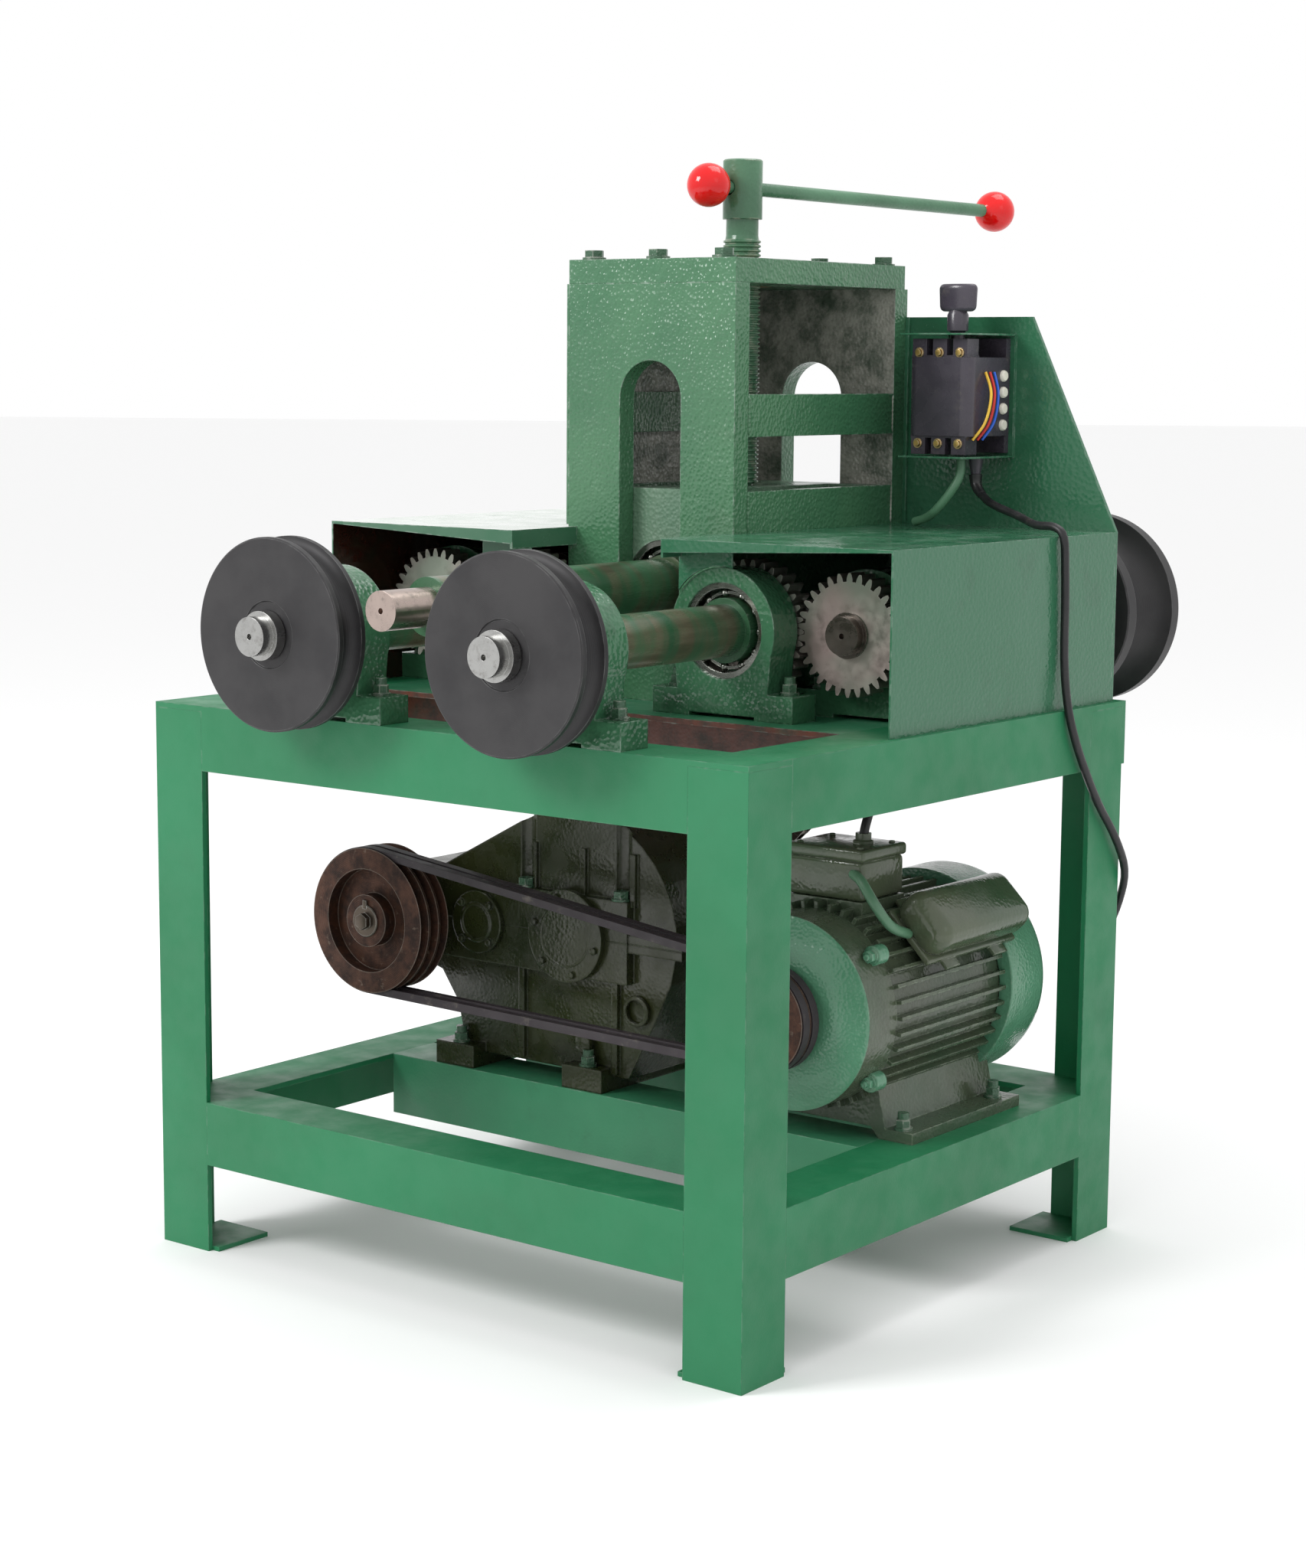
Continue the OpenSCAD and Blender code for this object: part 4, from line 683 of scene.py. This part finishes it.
def strand(name, route, radius, material, body, nodes=(), taper=None, loop=False):
    """Round cable along a route; taper gives the radius share at each point."""
    data = bpy.data.curves.new(name, "CURVE")
    data.dimensions = "3D"
    data.bevel_depth = radius
    data.bevel_resolution = 4
    data.use_fill_caps = True
    spline = data.splines.new("POLY")
    spline.points.add(len(route) - 1)
    spline.use_cyclic_u = loop
    spline.use_smooth = True
    for i, (point, place) in enumerate(zip(spline.points, route)):
        point.co = (*place, 1)
        point.radius = taper(i / (len(route) - 1)) if taper else 1
    data.materials.append(material)
    made = bpy.data.objects.new(name, data)
    bpy.context.collection.objects.link(made)
    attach(made, body)
    if nodes:
        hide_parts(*nodes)
    return made


# ---- mains cord ----

CORD_ROUTE = millimetres([
    (240, 284, 846), (242, 283, 834), (254, 276, 824), (276, 262, 815), (318, 244, 805),
    (352, 226, 797), (380, 217, 796), (393, 215, 785), (394, 218, 750), (394, 220, 710),
    (394, 221, 660), (397, 222, 620), (401, 228, 585), (402, 250, 545), (402, 288, 495),
    (404, 326, 452), (402, 354, 412), (390, 366, 374), (374, 364, 330), (364, 358, 290),
    (362, 357, 260), (362, 357, 230), (362, 357, 200), (356, 357, 168), (334, 357, 142),
    (300, 357, 130), (270, 357, 130), (240, 357, 130), (210, 357, 130), (174, 357, 126),
    (150, 360, 104), (140, 366, 70), (138, 371, 36), (130, 375, 16), (112, 380, 13.5)])
TAIL_ROUTE = millimetres([
    (68.5, 432, 4.5), (68, 456, 5), (69, 480, 8), (72, 500, 14), (72, 512, 16)])
COIL_START = 261.25
COIL_TURNS = 5.2257
OUTER, INNER = 51.5, 42.5
LOW, MID, TOP = 4.5, 13.5, 22.5
# how the coil is wound: turn number, radius and height, outside first and then back down inside
COIL_LAY = [
    (0, 52.6, MID), (0.08, OUTER, MID), (0.82, OUTER, MID), (0.92, OUTER, TOP),
    (1.66, OUTER, TOP), (1.80, INNER, TOP), (2.52, INNER, TOP), (2.66, INNER, MID),
    (3.52, INNER, MID), (3.66, INNER, LOW), (4.38, INNER, LOW), (4.52, OUTER, LOW),
    (COIL_TURNS, OUTER, LOW)]


def coil_point(turn):
    """Place on the coil after a number of turns, wound clockwise from above."""
    i = max(k for k, key in enumerate(COIL_LAY[:-1]) if key[0] <= turn)
    (start, r0, z0), (end, r1, z1) = COIL_LAY[i:i + 2]
    share = (turn - start) / (end - start)
    share = share * share * (3 - 2 * share)
    angle = math.radians(COIL_START - 360 * turn)
    radius = (r0 + (r1 - r0) * share) / 1000
    return COIL_AT + Vector((radius * math.cos(angle), radius * math.sin(angle),
                             (z0 + (z1 - z0) * share) / 1000))


def mains_cord():
    """Mains lead from the switch down the side and along the back to its coil and plug."""
    steps = round(COIL_TURNS * 30)
    coil = [coil_point(COIL_TURNS * i / steps) for i in range(1, steps)]
    route = smooth_route(CORD_ROUTE, 4) + coil + smooth_route(TAIL_ROUTE, 4)
    cord = strand("mains_lead", route, CORD_R, cord_rubber, "frame",
                  ["mains_cord", "cord_coil"])
    boot = strand("lead_boot", smooth_route(CORD_ROUTE[:4], 6)[:13], 0.0075, cord_rubber,
                  "frame", taper=lambda t: 1 - 0.32 * t)
    tie_at = COIL_AT + Vector((0, 0.047, 0))
    loop = [tie_at + Vector((0, y, z)) / 1000 for y, z in
            [(-10, 2), (-8, 0.9), (8, 0.9), (10, 2), (10, 25), (8, 27.5), (-8, 27.5), (-10, 25)]]
    tie = strand("coil_tie", loop, 0.0009, wire_yellow, "frame", loop=True)
    bm = bmesh.new()
    block(bm, (0.058, 0.514, 0.002), (0.086, 0.554, 0.030), 0.005, 4)
    turned(bm, [(0.0047, 0), (0.0065, 0), (0.0085, 0.008), (0.0085, 0.012), (0.0047, 0.012)],
           (0.072, 0.506, 0.016), closed=True, steps=40)
    for y in (0.524, 0.532, 0.540):
        block(bm, (0.0572, y, 0.006), (0.0868, y + 0.003, 0.026), 0.001, 2)
    plug = piece(bm, "mains_plug_body", cord_rubber, "frame", ["plug"])
    bm = bmesh.new()
    for side in (-1, 1):
        turned(bm, [(0, 0), (0.0024, 0), (0.0024, 0.0185), (0.0016, 0.020), (0, 0.020)],
               (0.072 + side * 0.006, 0.553, 0.016), steps=24)
    pins = piece(bm, "plug_pins", plain_steel, "frame")


mains_cord()

# ---- rollers ----


def groove(y, near, far, depth):
    """Half-round groove between two rim radii, centred at y, as outline points."""
    points = []
    for i in range(13):
        a = math.pi * i / 12
        points.append((near + (far - near) * i / 12 - depth * math.sin(a),
                       y - depth * math.cos(a)))
    return points


def roller(node, body, material, front, back, depth):
    """Grooved roller with a shallow hub face, front and back rim radii and groove depth."""
    low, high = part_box(node)
    centre = middle(node)
    half = (high.y - low.y) / 2
    inner = half - ROLLER_EDGE
    hub = HUB_FACE_R - 0.001
    outline = [(ROLLER_BORE_R, -inner), (hub, -inner), (HUB_FACE_R, -half),
               (front - ROLLER_EDGE, -half), (front, -inner)]
    outline += groove(0, front, back, depth)
    outline += [(back, inner), (back - ROLLER_EDGE, half), (HUB_FACE_R, half), (hub, inner),
                (ROLLER_BORE_R, inner)]
    bm = bmesh.new()
    turned(bm, outline, centre, steps=160, closed=True)
    piece(bm, node + "_turned", material, body, [node], sharp=30)


roller_right_black = turned_black("roller_black_right", middle("roller_right"))
roller_left_black = turned_black("roller_black_left", middle("roller_left"))
rear_right_black = turned_black("rear_black_right", middle("rear_roller_right"))
rear_left_black = turned_black("rear_black_left", middle("rear_roller_left"))
roller("roller_right", "front_right", roller_right_black, ROLLER_R, ROLLER_R, ROLLER_GROOVE)
roller("roller_left", "front_left", roller_left_black, ROLLER_R, ROLLER_R, ROLLER_GROOVE)
roller("rear_roller_right", "outer_right", rear_right_black, *REAR_ROLLER_R,
       REAR_ROLLER_GROOVE)
roller("rear_roller_left", "outer_left", rear_left_black, *REAR_ROLLER_R,
       REAR_ROLLER_GROOVE)


# ---- belts ----


def belt(bm, y, big, big_r, small, small_r, low=0.0043, high=0.0055, deep=0.009):
    """V-belt round two wheels: its section spun, drawn straight, spun and bridged."""
    reach = small - big
    line = math.atan2(reach.z, reach.x)
    lean = math.asin((big_r - small_r) / Vector((reach.x, reach.z)).length)
    start = line + math.pi / 2 - lean
    part = bmesh.new()
    outward = Vector((math.cos(start), 0, math.sin(start)))
    corners = [(0, -low), (0, low), (deep, high), (deep, -high)]
    verts = [part.verts.new(Vector((big.x, y + side, big.z)) + outward * (big_r + rise))
             for rise, side in corners]
    first = [part.edges.new((verts[i], verts[(i + 1) % 4])) for i in range(4)]
    axis = (0, -1, 0)
    wrap = bmesh.ops.spin(part, geom=verts + first, cent=(big.x, 0, big.z), axis=axis,
                          angle=math.pi + 2 * lean, steps=48)["geom_last"]
    edges = [g for g in wrap if isinstance(g, bmesh.types.BMEdge)]
    end = start + math.pi + 2 * lean
    outward = Vector((math.cos(end), 0, math.sin(end)))
    drawn = bmesh.ops.extrude_edge_only(part, edges=edges)["geom"]
    verts = [g for g in drawn if isinstance(g, bmesh.types.BMVert)]
    run = Vector((small.x, 0, small.z)) + outward * small_r
    run -= Vector((big.x, 0, big.z)) + outward * big_r
    bmesh.ops.translate(part, vec=run, verts=verts)
    edges = [g for g in drawn if isinstance(g, bmesh.types.BMEdge)
             and all(v in verts for v in g.verts)]
    wrap = bmesh.ops.spin(part, geom=verts + edges, cent=(small.x, 0, small.z), axis=axis,
                          angle=math.pi - 2 * lean, steps=36)["geom_last"]
    edges = [g for g in wrap if isinstance(g, bmesh.types.BMEdge)]
    bmesh.ops.bridge_loops(part, edges=edges + first)
    bmesh.ops.recalc_face_normals(part, faces=part.faces)
    pour(bm, part)


def belts():
    """Two belts in the front grooves of the pulleys."""
    big = middle("gearbox_input")
    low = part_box("gearbox_input")[0]
    motor = middle("motor_rotor")
    bm = bmesh.new()
    for row in (0.5, 1.5):
        belt(bm, low.y + row * BELT_PITCH, big, PULLEY_BELT_R, motor, MOTOR_BELT_R)
    piece(bm, "belts", belt_rubber, "frame", ["v_belts"])


belts()


# ---- gearbox details ----

BOX_Z = middle("gearbox_input").z
INPUT_X = middle("gearbox_input").x
MIDDLE_X = middle("gearbox_middle").x
OUTPUT_X = middle("gearbox_output").x


def gearbox_details():
    """Screws round the bearing caps, hub nut of the pulley and the oil plugs."""
    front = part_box("gearbox_caps")[0].y
    bm = bmesh.new()
    for x, radius, count in ((MIDDLE_X, 0.0295, 4), (OUTPUT_X, 0.044, 6)):
        for i in range(count):
            a = math.radians(45 + 360 * i / count)
            seat = (x + radius * math.cos(a), front + 0.001, BOX_Z + radius * math.sin(a))
            bolt(bm, seat, 0.0075, (0, -1, 0))
    for x, radius in ((MIDDLE_X, 0.021), (OUTPUT_X, 0.034)):
        turned(bm, [(radius - 0.0025, 0), (radius - 0.0025, 0.0012), (radius, 0.002),
                    (radius + 0.0025, 0.0012), (radius + 0.0025, 0)],
               (x, front + 0.0015, BOX_Z), (0, -1, 0), 64, closed=True)
    hexagon(bm, (OUTPUT_X + 0.02, -0.0345, FLOOR_RAIL_Z + 0.12), 0.02, 0.008, (0, -1, 0))
    turned(bm, [(0.017, 0), (0.017, 0.004), (0.013, 0.005), (0.013, 0)],
           (OUTPUT_X + 0.09, -0.032, BOX_Z - 0.075), (0, -1, 0), 48, closed=True)
    piece(bm, "gearbox_screws", gearbox_green, "frame")
    bm = bmesh.new()
    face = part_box("gearbox_input")[0].y
    turned(bm, [(0, 0), (0.0185, 0), (0.0185, 0.002), (0.0175, 0.003), (0, 0.003)],
           (INPUT_X, face + 0.0005, BOX_Z), (0, -1, 0), 48)
    hexagon(bm, (INPUT_X, face - 0.002, BOX_Z), 0.017, 0.007, (0, -1, 0))
    block(bm, (INPUT_X - 0.003, face - 0.003, BOX_Z + 0.014), (INPUT_X + 0.003, face + 0.004,
          BOX_Z + 0.024), 0.0008, 2)
    piece(bm, "pulley_nut", chain_steel, "input_shaft")


gearbox_details()


# ---- motor ----

MOTOR_X = middle("motor_rotor").x
MOTOR_Z = middle("motor_rotor").z
MOTOR_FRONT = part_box("motor_body")[0].y
MOTOR_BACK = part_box("motor_body")[1].y - 0.020
MOTOR_R = 0.110


def end_bell(bm):
    """Front bearing shield: flat rim, curved shoulder and bearing boss."""
    r = MOTOR_R - 0.007
    turned(bm, [(0.0145, 0), (0.0145, -0.019), (0.030, -0.019), (0.033, -0.0180),
                (0.034, -0.016), (0.044, -0.0155), (0.062, -0.0140), (0.078, -0.011),
                (0.090, -0.006), (0.099, -0.0025), (r - 0.001, -0.0015), (r, -0.0005),
                (r, 0)], (MOTOR_X, MOTOR_FRONT, MOTOR_Z), closed=True, steps=128)


def shield_lugs(bm):
    """Lugs round the front shield with their through-bolts."""
    for degrees in (38, 142, 218, 322):
        a = math.radians(degrees)
        x = MOTOR_X + 0.108 * math.cos(a)
        z = MOTOR_Z + 0.108 * math.sin(a)
        turned(bm, [(0, 0), (0.0095, 0), (0.0105, 0.001), (0.0105, 0.017), (0.0095, 0.018),
                    (0, 0.018)], (x, MOTOR_FRONT + 0.028, z), steps=32)
        bolt(bm, (x, MOTOR_FRONT + 0.028, z), 0.012, (0, -1, 0), 0.004)


def fan_cover(bm):
    """Domed sheet cover over the fan, with rings of air slots."""
    r = MOTOR_R
    turned(bm, [(r - 0.008, 0.003), (r - 0.008, 0), (r + 0.007, 0), (r + 0.008, 0.001),
                (r + 0.008, 0.060), (r + 0.006, 0.069), (r, 0.078), (r - 0.008, 0.084),
                (r - 0.016, 0.088), (0.020, 0.090), (0.020, 0.087), (r - 0.017, 0.085),
                (r - 0.003, 0.076), (r + 0.005, 0.060), (r + 0.005, 0.003)],
           (MOTOR_X, MOTOR_BACK, MOTOR_Z), closed=True, steps=128)
    for ring_r in (0.040, 0.055, 0.070, 0.085):
        for i in range(16):
            a = 2 * math.pi * i / 16
            turn = (Matrix.Translation((MOTOR_X, MOTOR_BACK + 0.0885, MOTOR_Z))
                    @ Matrix.Rotation(a, 4, "Y"))
            wide = ring_r * 0.13
            block(bm, (-wide, 0, ring_r - 0.0022), (wide, 0.002, ring_r + 0.0022), 0.0009, 2,
                  turn)


def terminal_box(bm):
    """Box on top of the motor with an overhanging lid and four screws."""
    low = Vector((MOTOR_X - 0.050, -0.004, MOTOR_Z + 0.111))
    high = Vector((MOTOR_X + 0.046, 0.076, MOTOR_Z + 0.166))
    block(bm, low, (high.x, high.y, high.z - 0.012), 0.006, 4)
    block(bm, (low.x - 0.002, low.y - 0.002, high.z - 0.013), (high.x + 0.002, high.y + 0.002,
          high.z), 0.004, 4)
    for x in (low.x + 0.010, high.x - 0.010):
        for y in (low.y + 0.010, high.y - 0.010):
            turned(bm, [(0, 0), (0.0035, 0), (0.003, 0.0018), (0, 0.0022)],
                   (x, y, high.z - 0.0003), (0, 0, 1), 20)
    turned(bm, [(0, 0), (0.011, 0), (0.011, 0.004), (0.0085, 0.005), (0.0085, 0.012),
                (0, 0.012)], (MOTOR_X + 0.017, 0.040, high.z - 0.001), (0, 0, 1), 32)


def capacitor_case(bm):
    """Rounded case of the start capacitor, lying against the shoulder of the barrel."""
    turn = (Matrix.Translation((MOTOR_X + 0.084, 0.020, MOTOR_Z + 0.074))
            @ Matrix.Rotation(math.radians(-45), 4, "Y"))
    block(bm, (0.002, 0, -0.034), (0.0465, 0.180, 0.034), 0.0175, 7, turn)
    block(bm, (-0.0015, 0.003, -0.0355), (0.006, 0.177, 0.0355), 0.0025, 3, turn)
    for y in (0.030, 0.125):
        block(bm, (-0.0015, y, -0.046), (0.003, y + 0.026, 0.046), 0.001, 2, turn)


def motor_shell():
    """Everything bolted on the motor's barrel."""
    bm = bmesh.new()
    end_bell(bm)
    fan_cover(bm)
    shield_lugs(bm)
    piece(bm, "motor_shell", bell_green, "frame", ["motor_covers"])
    bm = bmesh.new()
    terminal_box(bm)
    capacitor_case(bm)
    piece(bm, "motor_cases", case_green, "frame")
    route = smooth_route(millimetres([(278, -2, 440), (296, -14, 436), (318, -20, 414),
                                      (330, -8, 392), (332, 22, 380)]), 6)
    strand("capacitor_lead", route, 0.0055, cable_green, "frame")


motor_shell()


# ---- switch details and wiring ----

SWITCH_LOW, SWITCH_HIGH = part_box("switch_base")
SWITCH_X = (SWITCH_LOW.x + SWITCH_HIGH.x) / 2


def terminal_screws():
    """Brass screws on the terminal blocks, with washers and slots."""
    bm = bmesh.new()
    face = SWITCH_LOW.y + 0.002
    for z in (SWITCH_HIGH.z - 0.016, SWITCH_LOW.z + 0.034):
        for x in (-0.026, 0, 0.026):
            seat = (SWITCH_X + x, face, z)
            turned(bm, [(0, 0), (0.0055, 0), (0.0055, 0.0012), (0, 0.0012)], seat,
                   (0, -1, 0), 28)
            turned(bm, [(0, 0), (0.0042, 0), (0.0036, 0.0028), (0, 0.0032)],
                   (seat[0], seat[1] - 0.0012, seat[2]), (0, -1, 0), 24)
    piece(bm, "terminal_screws", brass, "frame")


def white_pads():
    """Row of pale contact pads beside the switch drum."""
    bm = bmesh.new()
    for z in (0.900, 0.918, 0.936, 0.954):
        turned(bm, [(0, 0), (0.0062, 0), (0.0062, 0.003), (0.005, 0.005), (0, 0.005)],
               (SWITCH_HIGH.x - 0.001, SWITCH_HIGH.y - 0.018, z), (1, 0, 0), 32)
    piece(bm, "contact_pads", moulded("pad_white", srgb(206, 202, 190), 0.45, 0.15), "frame")


def switch_wires():
    """Green cable and motor cable, and the three coloured wires of the switch."""
    cable = millimetres([(228, 272, 864), (228, 270, 845), (220, 264, 826), (203, 262, 806),
                         (184, 270, 796), (166, 278, 791.5)])
    motor = millimetres([(262, 40, 466), (262, 42, 480), (263, 50, 500), (265, 64, 530),
                         (266, 76, 560), (266, 80, 594)])
    strand("green_cable", smooth_route(cable, 8), 0.005, cable_green, "frame",
           ["wiring"])
    strand("motor_cable", smooth_route(motor, 8), 0.005, cord_rubber, "frame")
    for i, (name, material) in enumerate((("blue_wire", wire_blue), ("red_wire", wire_red),
                                          ("yellow_wire", wire_yellow))):
        route = millimetres([(254, 295 - 9 * i, 958), (261 + i, 293 - 9 * i, 934),
                             (260, 287 - 9 * i, 904), (250, 279 - 10 * i, 884)])
        strand(name, smooth_route(route, 8), 0.0016, material, "frame")


def panel_edge():
    """Folded edge of the switch panel, closed against the side of the tower."""
    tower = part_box("tower_back_plate")[1]
    low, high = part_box("switch_panel")
    bm = bmesh.new()
    block(bm, (tower.x - 0.0004, tower.y - 0.003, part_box("cover_right")[1].z),
          (low.x + 0.004, tower.y, high.z), 0.0003, 2)
    piece(bm, "panel_edge", cover_green, "frame")


def knob():
    """Stem and oval grip of the switch, the grip domed over its top."""
    low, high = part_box("switch_knob")
    x, y = (low.x + high.x) / 2, (low.y + high.y) / 2
    bm = bmesh.new()
    turned(bm, [(0, low.z), (0.008, low.z), (0.008, high.z - 0.053), (0.0118, high.z - 0.051),
                (0.0118, high.z - 0.034), (0.009, high.z - 0.028), (0, high.z - 0.028)],
           (x, y, 0), (0, 0, 1), 48)
    grip = bmesh.new()
    bmesh.ops.create_cone(grip, cap_ends=True, segments=72, radius1=0.0225, radius2=0.024,
                          depth=0.030)
    rims = [e for e in grip.edges if abs(e.verts[0].co.z - e.verts[1].co.z) < 1e-6]
    bmesh.ops.bevel(grip, geom=rims, offset=0.006, offset_type="OFFSET", segments=5,
                    profile=0.5, affect="EDGES", material=-1)
    bmesh.ops.scale(grip, vec=(1, 0.46, 1), verts=grip.verts)
    pour(bm, grip, Matrix.Translation((x, y, high.z - 0.015)))
    piece(bm, "knob_grip", switch_plum, "knob", ["switch_knob"])


terminal_screws()
white_pads()
switch_wires()
panel_edge()
knob()

# ---- chains ----


def link_shape(half_width):
    """One link: two side plates and the roller between them."""
    bm = bmesh.new()
    for side in (-1, 1):
        plate = bmesh.new()
        bmesh.ops.create_cube(plate, size=1)
        bmesh.ops.scale(plate, vec=LINK_PLATE, verts=plate.verts)
        ends = [e for e in plate.edges if abs(e.verts[0].co.y - e.verts[1].co.y) > 0.001]
        bmesh.ops.bevel(plate, geom=ends, offset=LINK_END_ROUND, offset_type="OFFSET", segments=2,
                        profile=0.5, affect="EDGES", material=-1)
        pour(bm, plate, Matrix.Translation((0, side * half_width, 0)))
    roller_part = bmesh.new()
    bmesh.ops.create_cone(roller_part, cap_ends=False, segments=10,
                          radius1=CHAIN_ROLLER_R, radius2=CHAIN_ROLLER_R, depth=CHAIN_ROLLER_W)
    pour(bm, roller_part, Matrix.Translation((CHAIN_PITCH / 2, 0, 0))
         @ Matrix.Rotation(math.pi / 2, 4, "X"))
    return bm


def chain(node, hub, hub_r, wheel, wheel_r):
    """Roller chain round two sprockets, its links laid end to end along the loop."""
    y = middle(node).y
    reach = Vector((wheel.x - hub.x, wheel.z - hub.z))
    lean = math.asin((hub_r - wheel_r) / reach.length)
    start = math.atan2(reach.y, reach.x) + math.pi / 2 - lean
    straight = reach.length * math.cos(lean)
    hub_turn, wheel_turn = math.pi + 2 * lean, math.pi - 2 * lean
    loop = hub_r * hub_turn + wheel_r * wheel_turn + 2 * straight
    count = 2 * round(loop / CHAIN_PITCH / 2)
    bm = bmesh.new()
    for i in range(count):
        run = loop * i / count
        if run < hub_r * hub_turn:
            centre, radius, angle, ahead = hub, hub_r, start + run / hub_r, 0
        elif run < hub_r * hub_turn + straight:
            centre, radius, angle = hub, hub_r, start + hub_turn
            ahead = run - hub_r * hub_turn
        elif run < loop - straight:
            angle = start + hub_turn + (run - hub_r * hub_turn - straight) / wheel_r
            centre, radius, ahead = wheel, wheel_r, 0
        else:
            centre, radius, angle = wheel, wheel_r, start + 2 * math.pi
            ahead = run - (loop - straight)
        way = angle + math.pi / 2
        place = Vector((centre.x + radius * math.cos(angle) + ahead * math.cos(way), y,
                        centre.z + radius * math.sin(angle) + ahead * math.sin(way)))
        pour(bm, link_shape(OUTER_LINK if i % 2 else INNER_LINK),
             Matrix.Translation(place) @ Matrix.Rotation(-way, 4, "Y"))
    piece(bm, node + "_links", chain_steel, "frame", [node])


for side in ("left", "right"):
    output = Vector((OUTPUT_X, 0, BOX_Z))
    chain("chain_" + side, output, OUTPUT_PITCH_R, middle("outer_gear_" + side), OUTER_PITCH_R)

# ---- welds ----


def weld(name, start, end, radius=WELD_R):
    """Rippled weld bead between two points."""
    start, end = Vector(start), Vector(end)
    count = max(12, round((end - start).length / WELD_RIPPLE))
    route = [start.lerp(end, i / count) for i in range(count + 1)]
    strand(name, route, radius, tower_green, "frame",
           taper=lambda t: (0.85 + 0.15 * math.cos(t * count * 1.6))
           * min(1, 0.35 + 12 * min(t, 1 - t)))


def welds():
    """Beads where the side bars and plates of the tower meet its two thick plates."""
    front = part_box("tower_front_plate")[1].y
    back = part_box("tower_back_plate")[0].y
    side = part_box("tower_side_bars")[1].x
    for i, (low, high) in enumerate(BAR_WELDS):
        for end, y in (("front", front + 0.0008), ("back", back - 0.0008)):
            weld(f"bar_weld_{end}_{i}", (side, y, DECK_Z + low), (side, y, DECK_Z + high))
    for sign, name in ((-1, "left"), (1, "right")):
        weld(f"foot_weld_{name}", (sign * side * 0.98, front - 0.026, DECK_Z + 0.001),
             (sign * side * 0.3, front - 0.026, DECK_Z + 0.001), FOOT_WELD_R)


welds()
